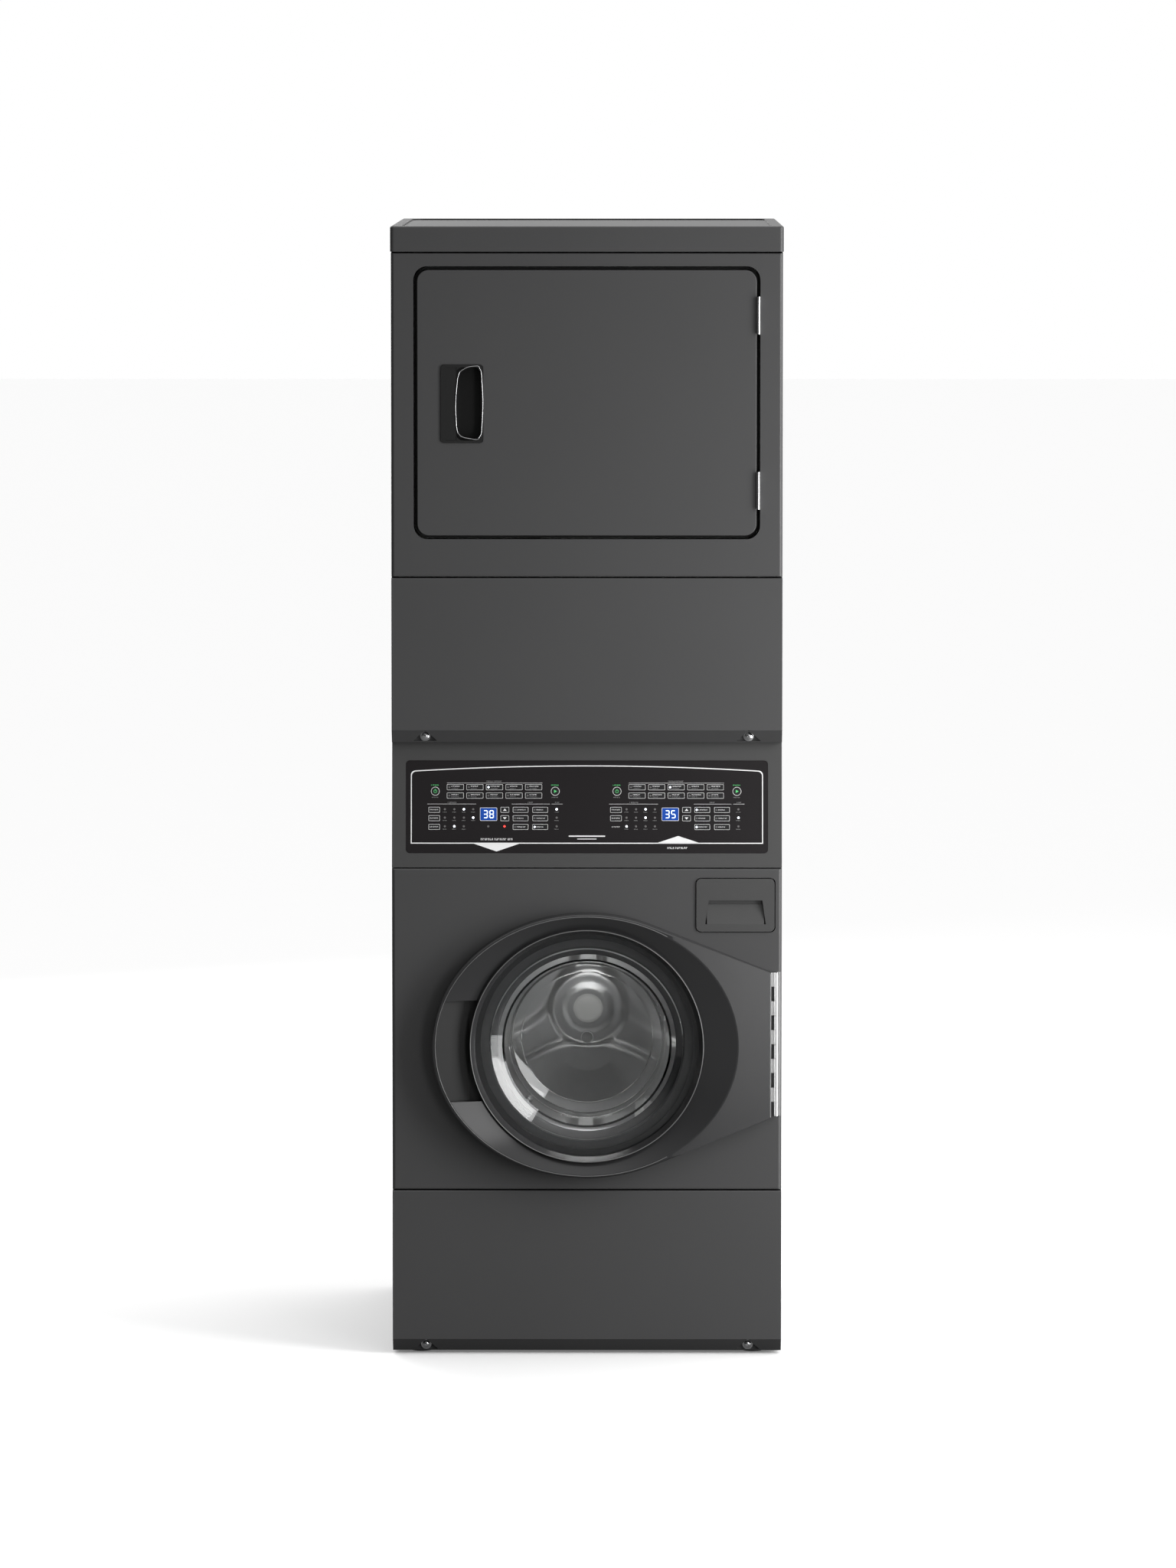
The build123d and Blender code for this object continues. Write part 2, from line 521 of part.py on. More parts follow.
def washer_door_glass():
    """Moulded glass bowl with a flat flange."""
    seat = DOOR_BACK_Y - 8.05
    return turned([(195.9, seat - 6), (195.9, seat), (170, seat), (150, -346), (142, -300), (136, -276),
                   (118, -262), (60, -257), (0, -256), (0, -261), (60, -262), (115, -267), (131, -279),
                   (137, -301), (145, -348), (168, seat - 6)], 0, DOOR_Z)


def washer_door_hook():
    """Latch hook on the back of the door."""
    hook = block(-220, -208, DOOR_BACK_Y + 0.05, -338, DOOR_Z - 10, DOOR_Z + 10)
    hook = hook - block(-221, -207, -346, -342, DOOR_Z - 5, DOOR_Z + 5)
    return hook + block(-226, -206, DOOR_BACK_Y + 0.05, DOOR_BACK_Y + 1.2, DOOR_Z - 14, DOOR_Z + 14)


def washer_hinge():
    """Continuous hinge: the leaf on the cabinet with its pin, and the leaf on the door."""
    low = DOOR_Z - KNUCKLE * KNUCKLES / 2
    high = DOOR_Z + KNUCKLE * KNUCKLES / 2
    fixed = block(HINGE_X, HALF_W - 1.5, FRONT - 1.8, FRONT - 0.05, low, high)
    moving = block(DOOR_EDGE_X + 0.05, DOOR_EDGE_X + 1.8, DOOR_FRONT_Y + 19, HINGE_Y + 2, low, high)
    for i in range(KNUCKLES):
        z0, z1 = low + i * KNUCKLE + 0.3, low + (i + 1) * KNUCKLE - 0.3
        barrel = rod_z(HINGE_R, HINGE_X, HINGE_Y, z0, z1)
        if i % 2:
            moving = moving + barrel + block(DOOR_EDGE_X + 0.05, HINGE_X, HINGE_Y - 2, HINGE_Y + 2, z0, z1)
        else:
            fixed = fixed + barrel + block(HINGE_X - 1.2, HINGE_X + 2, HINGE_Y, FRONT - 0.5, z0, z1)
    bore = rod_z(PIN_R + PIN_FIT, HINGE_X, HINGE_Y, low - 1, high + 1)
    pin = rod_z(PIN_R, HINGE_X, HINGE_Y, low + 0.3, high - 0.3)
    return Compound([*(fixed - bore).solids(), pin]), moving - bore


# ---- control console ----------------------------------------------------------------------
def console_plane(z, inward=0.0):
    """A plane on the console's sloped face at height z, moved in by a distance."""
    lean = math.radians(SLOPE)
    y = CONSOLE_Y0 + (z - CONSOLE_LOW) * math.tan(lean)
    face = Plane(origin=(0, y, z), x_dir=(1, 0, 0), z_dir=(0, -math.cos(lean), math.sin(lean)))
    return face.offset(-inward)


def control_console():
    """Moulded console across the whole width, its face leaning back, with a shallow seat for the overlay."""
    low, high = CONSOLE_LOW + GAP / 2, CONSOLE_TOP - GAP / 2
    y_top = CONSOLE_Y0 + (high - CONSOLE_LOW) * math.tan(math.radians(SLOPE))
    t = 2.8
    outer = side_prism([(CONSOLE_Y0, low), (y_top, high), (-300, high), (-300, low)], -HALF_W, HALF_W)
    hollow = side_prism([(CONSOLE_Y0 + t, low + t), (y_top + t, high - t), (-299, high - t), (-299, low + t)],
                        -HALF_W + t, HALF_W - t)
    middle = (OVERLAY_LOW + OVERLAY_HIGH) / 2
    seat = console_plane(middle, 1.3) * RectangleRounded(OVERLAY_W + 0.8, overlay_height() + 0.8, 7)
    return outer - hollow - extrude(seat, 3)


def overlay_height():
    return (OVERLAY_HIGH - OVERLAY_LOW) / math.cos(math.radians(SLOPE))


def control_overlay():
    """Printed membrane overlay with the flush keys and display windows."""
    middle = (OVERLAY_LOW + OVERLAY_HIGH) / 2
    sheet = console_plane(middle, 1.25) * RectangleRounded(OVERLAY_W, overlay_height(), 6.5)
    return extrude(sheet, 1.45)


def control_board():
    middle = (OVERLAY_LOW + OVERLAY_HIGH) / 2
    board = extrude(console_plane(middle, 14) * RectangleRounded(580, 130, 4), 1.6)
    for x in (-260, -20, 20, 260):
        post = extrude(console_plane(middle, 12.4) * Pos(x, 0) * Circle(4), 9.5)
        board = board + post
    return board


# ---- dryer cabinet ------------------------------------------------------------------------
def dryer_cabinet():
    """Sides and back of the dryer, with the exhaust hole, louvres and a cable entry."""
    low = CONSOLE_TOP + 0.4
    wrap = round_upright_edges(block(-HALF_W, HALF_W, WRAP_Y, BACK, low, 1978), BACK, EDGE_R + 1)
    inside = block(-HALF_W + SHEET, HALF_W - SHEET, WRAP_Y - 1, BACK - SHEET, low - 1, 1979)
    wrap = wrap - round_upright_edges(inside, BACK - SHEET, EDGE_R)
    wrap = wrap - rod_y(DUCT_R + 1, DUCT_X, DUCT_Z, BACK - 3, BACK + 1)
    wrap = wrap - rod_y(16, -250, 1180, BACK - 3, BACK + 1)
    for row in range(10):
        z = 1300 + 12 * row
        wrap = wrap - block(-120, 60, BACK - 3, BACK + 1, z, z + 4)
    return wrap


def dryer_base_pan():
    """Floor of the dryer, with the idler's upright welded to it."""
    x = HALF_W - SHEET - 0.1
    pan = block(-x, x, WRAP_Y + 8, BACK - EDGE_R - 2, CONSOLE_TOP + 1, CONSOLE_TOP + 3)
    upright = block(-72, -48, 90, 94, CONSOLE_TOP + 2, 1142)
    return pan + upright + rod_y(5, -60, 1130, 80.5, 91)


def dryer_top_panel():
    """Top with rounded edges and a shallow tray inside its raised rim."""
    outer = block(-TOP_HALF_W, TOP_HALF_W, FRONT - 1.3, BACK + 1.3, TOP_SKIRT, HEIGHT)
    outer = fillet(outer.edges().filter_by(Axis.Z), 7)
    outer = fillet(outer.faces().sort_by(Axis.Z)[-1].edges(), 3)
    t = 1.25
    inner = block(-TOP_HALF_W + t, TOP_HALF_W - t, FRONT - 1.3 + t, BACK + 1.3 - t, TOP_SKIRT - 1, HEIGHT - 4)
    inner = fillet(inner.edges().filter_by(Axis.Z), 5)
    tray = Pos(0, 0, HEIGHT - 2.5) * extrude(RectangleRounded(2 * TOP_HALF_W - 40, 2 * BACK - 44, 22), 4)
    return outer - inner - tray


def dryer_front_panel():
    """Folded front with the large door opening."""
    panel = folded_panel(DRYER_SPLIT + GAP, TOP_SKIRT - 2.4)
    hole = rounded_slab(DRY_OPEN_W, DRY_OPEN_H, 24, 0, DRY_DOOR_Z, FRONT - 1, FRONT + 8)
    sleeve = rounded_slab(DRY_OPEN_W + 2 * SHEET, DRY_OPEN_H + 2 * SHEET, 25, 0, DRY_DOOR_Z, FRONT + 1, FRONT + 20)
    hole_deep = rounded_slab(DRY_OPEN_W, DRY_OPEN_H, 24, 0, DRY_DOOR_Z, FRONT - 1, FRONT + 21)
    for z in DRY_HINGE_Z:
        sleeve = sleeve - block(290, 310, FRONT + 1.3, FRONT + 8, z - 36, z + 36)
    return panel - hole + (sleeve - hole_deep)


def dryer_front_bulkhead():
    """Front wall of the drum space, with its hatch, collar, lint chute and door catch."""
    y0, y1 = DRYER_FRONT - 12, DRYER_FRONT - 10.8
    wall = block(-330, 330, y0, y1, 1296, 1930) - rod_y(HATCH_R, 0, HATCH_Z, y0 - 1, y1 + 1)
    collar = tube_y(DRYER_R - 1.6, DRYER_R - 7, 0, DRYER_AXIS_Z, y1 - 0.5, DRYER_FRONT + 18)
    chute = block(-82, 82, y0 - 15, y0 + 0.5, 1240, 1452)
    chute = chute + block(-200, 82, y0 - 15, y0 + 0.5, 1120, 1300)
    chute = chute - block(-80, 80, y0 - 13, y0 - 1.2, 1239, 1453)
    chute = chute - block(-198, 80, y0 - 13, y0 - 1.2, 1122, 1298)
    chute = chute - rod_y(60, ROTOR_X, ROTOR_Z, y0 - 5, y0 + 2)
    catch = block(-296, -262, y0 - 14, y0 + 0.5, 1652, 1700) - block(-290, -266, y0 - 15, y0 - 1.5, 1660, 1692)
    return wall + collar + chute + catch


def dryer_rear_bulkhead():
    """Rear wall of the drum space, with the shaft's bearing and the warm air holes."""
    y0 = DRYER_REAR + 26
    wall = block(-330, 330, y0, y0 + 1.2, 1290, 1930)
    wall = wall + rod_y(30, 0, DRYER_AXIS_Z, y0 - 10, y0 + 12)
    wall = wall - rod_y(8.05, 0, DRYER_AXIS_Z, y0 - 11, y0 + 13)
    for x in (100, 130, 160, 190):
        for z in (1500, 1530, 1560, 1590, 1620, 1650):
            wall = wall - rod_y(9, x, z, y0 - 1, y0 + 2)
    return wall


def heater_duct():
    """Sheet duct with the heater, behind the rear bulkhead."""
    y0, y1 = DRYER_REAR + 27.3, BACK - 12
    duct = block(70, 220, y0, y1, 1240, 1690) - block(71.2, 218.8, y0 - 1, y1 - 1.2, 1230, 1688.8)
    for row in range(5):
        z = 1290 + 30 * row
        duct = duct + block(70.6, 219.4, (y0 + y1) / 2 - 2, (y0 + y1) / 2 + 2, z, z + 4)
    return duct


def exhaust_duct():
    """Round duct from the blower to the slightly wider collar behind the cabinet."""
    duct = rod_y(DUCT_R - 1.4, DUCT_X, DUCT_Z, -109.9, BACK) + rod_y(DUCT_R, DUCT_X, DUCT_Z, BACK, BACK + REACH)
    return duct - rod_y(DUCT_R - 2.0, DUCT_X, DUCT_Z, -111, BACK + REACH + 1)


def blower_housing():
    """Housing of the fan, with its inlet tube in front and its outlet to the duct."""
    outer = rod_y(92, ROTOR_X, ROTOR_Z, -180, -110) + block(ROTOR_X, 166, -180, -110, 1101, 1214)
    inner = rod_y(89, ROTOR_X, ROTOR_Z, -177, -113) + block(ROTOR_X, 163, -177, -113, 1104, 1211)
    housing = outer - inner - rod_y(57, ROTOR_X, ROTOR_Z, -185, -170)
    housing = housing - rod_y(14, ROTOR_X, ROTOR_Z, -120, -100) - rod_y(DUCT_R - 1, DUCT_X, DUCT_Z, -120, -100)
    inlet = tube_y(59, 57, ROTOR_X, ROTOR_Z, DRYER_FRONT - 10.7, -179.5)
    feet = block(-160, -130, -170, -120, CONSOLE_TOP + 3.05, 1108) - rod_y(90, ROTOR_X, ROTOR_Z, -181, -109)
    return housing + inlet + feet


def dryer_motor():
    body = rod_y(66, ROTOR_X, ROTOR_Z, -60, 60) - rod_y(8.06, ROTOR_X, ROTOR_Z, -61, 61)
    cradle = block(-180, -80, -45, 45, CONSOLE_TOP + 3.05, 1150) - rod_y(60, ROTOR_X, ROTOR_Z, -61, 61)
    return body + cradle


def blower_wheel():
    """Rotor: shaft through the motor, fan in front and belt pulley behind."""
    x, z = ROTOR_X, ROTOR_Z
    rotor = rod_y(8, x, z, -168, 86) + rod_y(78, x, z, -124, -120)
    for turn in range(0, 360, 15):
        blade = block(62, 78, -166, -122, -1, 1)
        rotor = rotor + Pos(x, 0, z) * Rot(0, turn, 0) * blade
    rotor = rotor + tube_y(79, 74, x, z, -168, -165) + rod_y(14, x, z, DRY_BELT_Y - 2, DRY_BELT_Y + 13)
    return rotor


def idler():
    """Spring-loaded arm and the pulley that tightens the belt."""
    base = rod_y(10, -60, 1130, 81, 86) + rod_y(4, IDLER_X, IDLER_Z, 67, 86)
    length = math.hypot(IDLER_X + 60, IDLER_Z - 1130)
    lean = math.degrees(math.atan2(IDLER_Z - 1130, IDLER_X + 60))
    bar = Pos(-60, 0, 1130) * Rot(0, -lean, 0) * block(0, length, 83, 86, -8, 8)
    arm = base + bar - rod_y(5.05, -60, 1130, 79, 88)
    pulley = tube_y(IDLER_R, 4.05, IDLER_X, IDLER_Z, 68, 82)
    return arm, pulley


def dryer_belt():
    circles = [(0, DRYER_AXIS_Z, DRYER_R), (ROTOR_X, ROTOR_Z, 14), (IDLER_X, IDLER_Z, IDLER_R)]
    return belt(circles, DRY_BELT_Y)


def dryer_drum():
    """Steel drum, open in front, on a short shaft behind."""
    y0, y1 = DRYER_FRONT, DRYER_REAR
    shell = turned([(DRYER_R, y0), (DRYER_R, y1), (0, y1), (0, y1 - 1.2), (DRYER_R - 1.2, y1 - 1.2),
                    (DRYER_R - 1.2, y0)], 0, DRYER_AXIS_Z)
    for ring in range(3, 9):
        for i in range(ring * 3):
            turn = math.radians(360 * i / (ring * 3))
            x, z = 24 * ring * math.cos(turn), 24 * ring * math.sin(turn)
            shell = shell - rod_y(4, x, DRYER_AXIS_Z + z, y1 - 3, y1 + 1)
    return shell + rod_y(45, 0, DRYER_AXIS_Z, y1 - 0.5, y1 + 4) + rod_y(8, 0, DRYER_AXIS_Z, y1, y1 + 44)


def dryer_baffles():
    parts = []
    wedge = [(-38, -302), (38, -302), (12, -235), (-12, -235)]
    for turn in (90, 210, 330):
        vane = front_prism(wedge, -262, 225) & rod_y(DRYER_R - 1.25, 0, 0, -263, 226)
        parts.append(Pos(0, 0, DRYER_AXIS_Z) * Rot(0, turn, 0) * vane)
    return Compound(parts)


def lint_filter():
    """Mesh frame that lifts out of the chute."""
    y0, y1 = DRYER_FRONT - 23.5, DRYER_FRONT - 15
    frame = block(-76, 76, y0, y1, 1310, 1462) - block(-68, 68, y0 + 2, y1 - 2, 1318, 1448)
    for x in (-45, 0, 45):
        frame = frame - block(x - 18, x + 18, y0 - 1, y1 + 1, 1322, 1440)
    screen = block(-68.5, 68.5, y0 + 3.6, y0 + 4.6, 1317, 1441)
    return frame + screen + block(-60, 60, y0, y1, 1461, 1472)


# ---- dryer door ---------------------------------------------------------------------------
def handle_hole(grow, y0, y1):
    return rounded_slab(HANDLE_W + grow, HANDLE_H + grow, 6, HANDLE_X, HANDLE_Z, y0, y1)


def dryer_door_outer():
    """Painted outer shell of the door."""
    y0 = FRONT - 2
    slab = rounded_slab(DRY_DOOR_W, DRY_DOOR_H, 20, 0, DRY_DOOR_Z, y0, y0 + 20)
    slab = fillet(slab.faces().sort_by(Axis.Y)[0].edges(), 1.2)
    inner = rounded_slab(DRY_DOOR_W - 3, DRY_DOOR_H - 3, 18.5, 0, DRY_DOOR_Z, y0 + 1.5, y0 + 21)
    return slab - inner - handle_hole(0.6, y0 - 1, y0 + 5)


def dryer_door_inner():
    """Inner pan of the door, with its strike."""
    y0 = FRONT - 2
    pan = rounded_slab(DRY_DOOR_W - 3.6, DRY_DOOR_H - 3.6, 18, 0, DRY_DOOR_Z, y0 + 3, y0 + DRY_DOOR_D)
    dish = turned([(0, y0 + 22), (170, y0 + 22), (196, y0 + DRY_DOOR_D + 1), (0, y0 + DRY_DOOR_D + 1)], 0, HATCH_Z)
    hollow = rounded_slab(DRY_DOOR_W - 10, DRY_DOOR_H - 10, 16, 0, DRY_DOOR_Z, y0 + 2, y0 + 19)
    strike = block(-282, -274, y0 + DRY_DOOR_D - 1, y0 + DRY_DOOR_D + 12, 1666, 1686)
    return pan - dish - hollow - handle_hole(4, y0 + 1, y0 + 31) + strike


def dryer_door_handle():
    """Cup grip: a flat plate on the left, a finger pocket that opens to the right behind it."""
    y0 = FRONT - 4
    cup = handle_hole(0, y0, y0 + 31)
    mouth = rounded_slab(44, HANDLE_H - 8, 12, -206, HANDLE_Z, y0 - 1, y0 + 28)
    under = rounded_slab(66, HANDLE_H - 16, 12, -217, HANDLE_Z, y0 + 7, y0 + 28)
    lip = block(HANDLE_X - 30, HANDLE_X + 33, y0 - 1, y0 + 0.8, HANDLE_Z - 64, HANDLE_Z + 64)
    plate = block(HANDLE_X - 31, -227, y0 - 2, y0 + 1.5, HANDLE_Z - 64, HANDLE_Z + 64)
    return cup - mouth - under - (lip & plate)


def dryer_hinges():
    """Leaves on the cabinet and on the door, each pair of hinges as one set."""
    fixed, moving = [], []
    for z in DRY_HINGE_Z:
        half = DRY_HINGE_LEN / 2
        bore = rod_z(1.55, DRY_HINGE_X, DRY_HINGE_Y, z - 40, z + 40)
        leaf = block(DRY_HINGE_X + 0.6, 330, FRONT + 1.3, FRONT + 3.3, z - half, z + half)
        for low, high in ((z - half, z - half / 3 - 0.2), (z + half / 3 + 0.2, z + half)):
            leaf = leaf + rod_z(3.2, DRY_HINGE_X, DRY_HINGE_Y, low, high)
            leaf = leaf + block(DRY_HINGE_X + 0.6, DRY_HINGE_X + 2.6, DRY_HINGE_Y, FRONT + 2, low, high)
        low, high = z - half / 3 + 0.2, z + half / 3 - 0.2
        arm = rod_z(3.2, DRY_HINGE_X, DRY_HINGE_Y, low, high)
        arm = arm + block(DRY_HINGE_X - 3.0, DRY_HINGE_X - 1.2, DRY_HINGE_Y, FRONT + 18, low, high)
        fixed.extend((leaf - bore).solids())
        fixed.append(rod_z(1.5, DRY_HINGE_X, DRY_HINGE_Y, z - half + 0.3, z + half - 0.3))
        moving.append(arm - bore)
    return Compound(fixed), Compound(moving)


# ---- the assembly -------------------------------------------------------------------------
tub_front, tub_rear = outer_tub()
drawer_front, drawer_tray = dispenser_drawer()
washer_leaf, washer_door_leaf = washer_hinge()
dryer_leaves, dryer_door_leaves = dryer_hinges()
idler_arm, idler_pulley = idler()

NODES = {
    "base_frame": base_frame(),
    "leveling_feet": leveling_feet(),
    "washer_cabinet": washer_cabinet(),
    "washer_front_panel": washer_front_panel(),
    "washer_lower_panel": lower_panel(PANEL_FOOT, WASHER_SPLIT - GAP),
    "access_panel_screws": access_panel_screws(),
    "washer_hinge_leaf": washer_leaf,
    "dispenser_housing": dispenser_housing(),
    "washer_door_lock": washer_door_lock(),
    "inlet_valves": inlet_valves(),
    "drain_pump": drain_pump(),
    "damper_cylinders": damper_cylinders(),
    "suspension_springs": suspension_springs(),
    "door_gasket": door_gasket(),
    "control_console": control_console(),
    "control_overlay": control_overlay(),
    "control_board": control_board(),
    "terminal_cover": terminal_cover(),
    "dryer_cabinet": dryer_cabinet(),
    "dryer_top_panel": dryer_top_panel(),
    "dryer_front_panel": dryer_front_panel(),
    "dryer_lower_panel": lower_panel(CONSOLE_TOP + GAP / 2, DRYER_SPLIT - GAP),
    "dryer_base_pan": dryer_base_pan(),
    "dryer_front_bulkhead": dryer_front_bulkhead(),
    "dryer_rear_bulkhead": dryer_rear_bulkhead(),
    "heater_duct": heater_duct(),
    "exhaust_duct": exhaust_duct(),
    "blower_housing": blower_housing(),
    "dryer_motor": dryer_motor(),
    "dryer_belt": dryer_belt(),
    "dryer_hinge_leaves": dryer_leaves,
    "outer_tub_front": tub_front,
    "outer_tub_rear": tub_rear,
    "tub_counterweight": tub_counterweight(),
    "wash_motor": wash_motor(),
    "damper_rods": damper_rods(),
    "wash_belt": wash_belt(),
    "wash_drum": wash_drum(),
    "wash_drum_baffles": wash_drum_baffles(),
    "drum_spider": drum_spider(),
    "drum_pulley": drum_pulley(),
    "wash_motor_pulley": wash_motor_pulley(),
    "washer_door_frame": washer_door_frame(),
    "washer_door_bezel": washer_door_bezel(),
    "washer_door_glass": washer_door_glass(),
    "washer_door_handle": washer_door_handle(),
    "washer_door_hook": washer_door_hook(),
    "washer_door_hinge_leaf": washer_door_leaf,
    "drawer_front": drawer_front,
    "drawer_tray": drawer_tray,
    "dryer_drum": dryer_drum(),
    "dryer_baffles": dryer_baffles(),
    "blower_wheel": blower_wheel(),
    "idler_arm": idler_arm,
    "idler_pulley": idler_pulley,
    "dryer_door_outer": dryer_door_outer(),
    "dryer_door_inner": dryer_door_inner(),
    "dryer_door_handle": dryer_door_handle(),
    "dryer_door_hinge_leaves": dryer_door_leaves,
    "lint_filter": lint_filter(),
}

os.makedirs("parts", exist_ok=True)
for name, shape in NODES.items():
    export_step(shape, f"parts/{name}.step")
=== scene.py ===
"""Looks for the stacked washer and dryer: finishes, console print, perforated basket, small hardware."""
import json
import math

import bmesh
import bpy
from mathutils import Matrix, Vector


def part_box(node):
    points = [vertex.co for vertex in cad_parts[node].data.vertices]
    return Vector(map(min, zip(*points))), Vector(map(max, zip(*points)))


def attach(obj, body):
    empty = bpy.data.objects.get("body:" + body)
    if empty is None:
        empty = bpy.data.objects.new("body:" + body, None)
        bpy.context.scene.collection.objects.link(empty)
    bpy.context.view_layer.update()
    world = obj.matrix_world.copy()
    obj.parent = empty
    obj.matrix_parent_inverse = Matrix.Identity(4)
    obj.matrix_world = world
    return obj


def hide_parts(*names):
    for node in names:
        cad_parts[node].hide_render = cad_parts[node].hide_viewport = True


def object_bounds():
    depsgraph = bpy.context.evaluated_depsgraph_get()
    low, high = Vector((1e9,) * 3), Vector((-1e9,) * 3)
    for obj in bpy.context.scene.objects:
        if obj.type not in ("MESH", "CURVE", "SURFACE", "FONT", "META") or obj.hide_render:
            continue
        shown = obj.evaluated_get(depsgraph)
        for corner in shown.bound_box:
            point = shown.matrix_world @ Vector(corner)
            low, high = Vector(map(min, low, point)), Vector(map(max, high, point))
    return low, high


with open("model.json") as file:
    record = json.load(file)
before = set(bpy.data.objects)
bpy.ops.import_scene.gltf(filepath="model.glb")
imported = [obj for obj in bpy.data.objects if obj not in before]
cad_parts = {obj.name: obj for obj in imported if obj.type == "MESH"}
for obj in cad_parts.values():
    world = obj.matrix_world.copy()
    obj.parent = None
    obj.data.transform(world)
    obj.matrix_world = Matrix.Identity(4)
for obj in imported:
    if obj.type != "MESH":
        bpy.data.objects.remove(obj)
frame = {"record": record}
cad_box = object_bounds()

MM = 0.001
DOOR_Z = 0.552                 # axis of the washer's door, tub and basket
RIM_HALF_WIDTH, RIM_HALF_HEIGHT = 0.2652, 0.2282   # painted highlight line round the door's oval: a bead lighter than the door along its rim
PANEL_SCREW_X, PANEL_SCREW_RISE = 0.283, 0.0112    # front screws: off centre, and above a panel's foot
INLET_X, INLET_Z = (0.160, 0.240), 0.960           # axes of the two water inlets
TOP = cad_box[1][2]
scene = bpy.context.scene


# ---- camera, light and floor --------------------------------------------------------------
FRAME_HEIGHT = 2.730           # what the picture takes in, at the plane of the front panels
CAMERA_DISTANCE = 12.0
EYE_ABOVE_TOP = 0.245
CAMERA_X = 0.062
AIM_Z = 1.012                  # height at the picture's middle
SHIFT = -0.13                  # share of the picture's height


def add_camera():
    """A long lens just above the top, so that upright lines stay nearly upright."""
    data = bpy.data.cameras.new("camera")
    camera = bpy.data.objects.new("camera", data)
    scene.collection.objects.link(camera)
    data.sensor_width = 36
    data.lens = data.sensor_width * CAMERA_DISTANCE / FRAME_HEIGHT
    data.clip_end = 60
    front = cad_box[0][1] + 0.042
    eye = Vector((CAMERA_X, front - CAMERA_DISTANCE, TOP + EYE_ABOVE_TOP))
    aim = Vector((0.002, front, AIM_Z - SHIFT * FRAME_HEIGHT))
    camera.location = eye
    camera.rotation_euler = (aim - eye).to_track_quat("-Z", "Y").to_euler()
    data.shift_y = SHIFT
    scene.camera = camera


def area_light(name, place, aim, size, power):
    """A white rectangular soft light that faces aim."""
    data = bpy.data.lights.new(name, "AREA")
    data.shape = "RECTANGLE"
    data.size, data.size_y = size
    data.energy = power
    lamp = bpy.data.objects.new(name, data)
    lamp.location = place
    lamp.rotation_euler = (Vector(aim) - Vector(place)).to_track_quat("-Z", "Y").to_euler()
    scene.collection.objects.link(lamp)


def add_light():
    """A pale studio, brighter above, behind and to the right. The camera sees it as plain white."""
    world = bpy.data.worlds.new("studio")
    world.use_nodes = True
    nodes, links = world.node_tree.nodes, world.node_tree.links
    back = nodes["Background"]
    place = nodes.new("ShaderNodeTexCoord")
    lean = nodes.new("ShaderNodeVectorMath")
    lean.operation = "DOT_PRODUCT"
    lean.inputs[1].default_value = (0.34, 0.28, 0.62)
    links.new(place.outputs["Generated"], lean.inputs[0])
    level = nodes.new("ShaderNodeMath")
    level.inputs[1].default_value = 0.25
    level.use_clamp = True
    links.new(lean.outputs["Value"], level.inputs[0])
    links.new(level.outputs[0], back.inputs["Color"])
    back.inputs["Strength"].default_value = 1.25
    plain = nodes.new("ShaderNodeBackground")
    plain.inputs["Color"].default_value = (1, 1, 1, 1)
    seen = nodes.new("ShaderNodeLightPath")
    mix = nodes.new("ShaderNodeMixShader")
    links.new(seen.outputs["Is Camera Ray"], mix.inputs[0])
    links.new(back.outputs[0], mix.inputs[1])
    links.new(plain.outputs[0], mix.inputs[2])
    links.new(mix.outputs[0], nodes["World Output"].inputs["Surface"])
    scene.world = world
    scene.view_settings.view_transform = "Standard"
    area_light("right_softbox", (1.75, -1.35, 1.25), (0, -0.35, 1.1), (0.9, 2.4), 50)
    area_light("top_softbox", (0.0, 0.2, 4.2), (0, 0, 1.2), (2.6, 2.2), 6)
    area_light("side_card", (1.22, -3.3, 0.85), (0.1, -0.39, 0.65), (0.62, 1.7), 12)
    area_light("drum_glow", (0.0, -0.272, DOOR_Z + 0.212), (0, 0.0, DOOR_Z - 0.22), (0.18, 0.02), 0.55)
    area_light("rear_fill", (-1.8, 3.6, 2.4), (0, 0.3, 1.0), (2.2, 2.4), 60)


def add_floor():
    """White paper that shows as white but throws little light up at the machine, as in a cut-out picture."""
    mesh = bpy.data.meshes.new("floor")
    half = 40
    corners = [(-half, -half, 0), (half, -half, 0), (half, half, 0), (-half, half, 0)]
    mesh.from_pydata(corners, [], [(0, 1, 2, 3)])
    floor = bpy.data.objects.new("floor", mesh)
    scene.collection.objects.link(floor)
    paper = surface("floor_paper", (0.97, 0.97, 0.97), 0.9, spread=0.004, grain=60, depth=0.1, glow=0.16)
    nodes, links = paper.node_tree.nodes, paper.node_tree.links
    shader, out = nodes["Principled BSDF"], nodes["Material Output"]
    dim = nodes.new("ShaderNodeBsdfDiffuse")
    dim.inputs["Color"].default_value = (0.16, 0.16, 0.16, 1)
    seen = nodes.new("ShaderNodeLightPath")
    mix = nodes.new("ShaderNodeMixShader")
    links.new(seen.outputs["Is Camera Ray"], mix.inputs[0])
    links.new(dim.outputs[0], mix.inputs[1])
    links.new(shader.outputs[0], mix.inputs[2])
    links.new(mix.outputs[0], out.inputs["Surface"])
    floor.data.materials.append(paper)


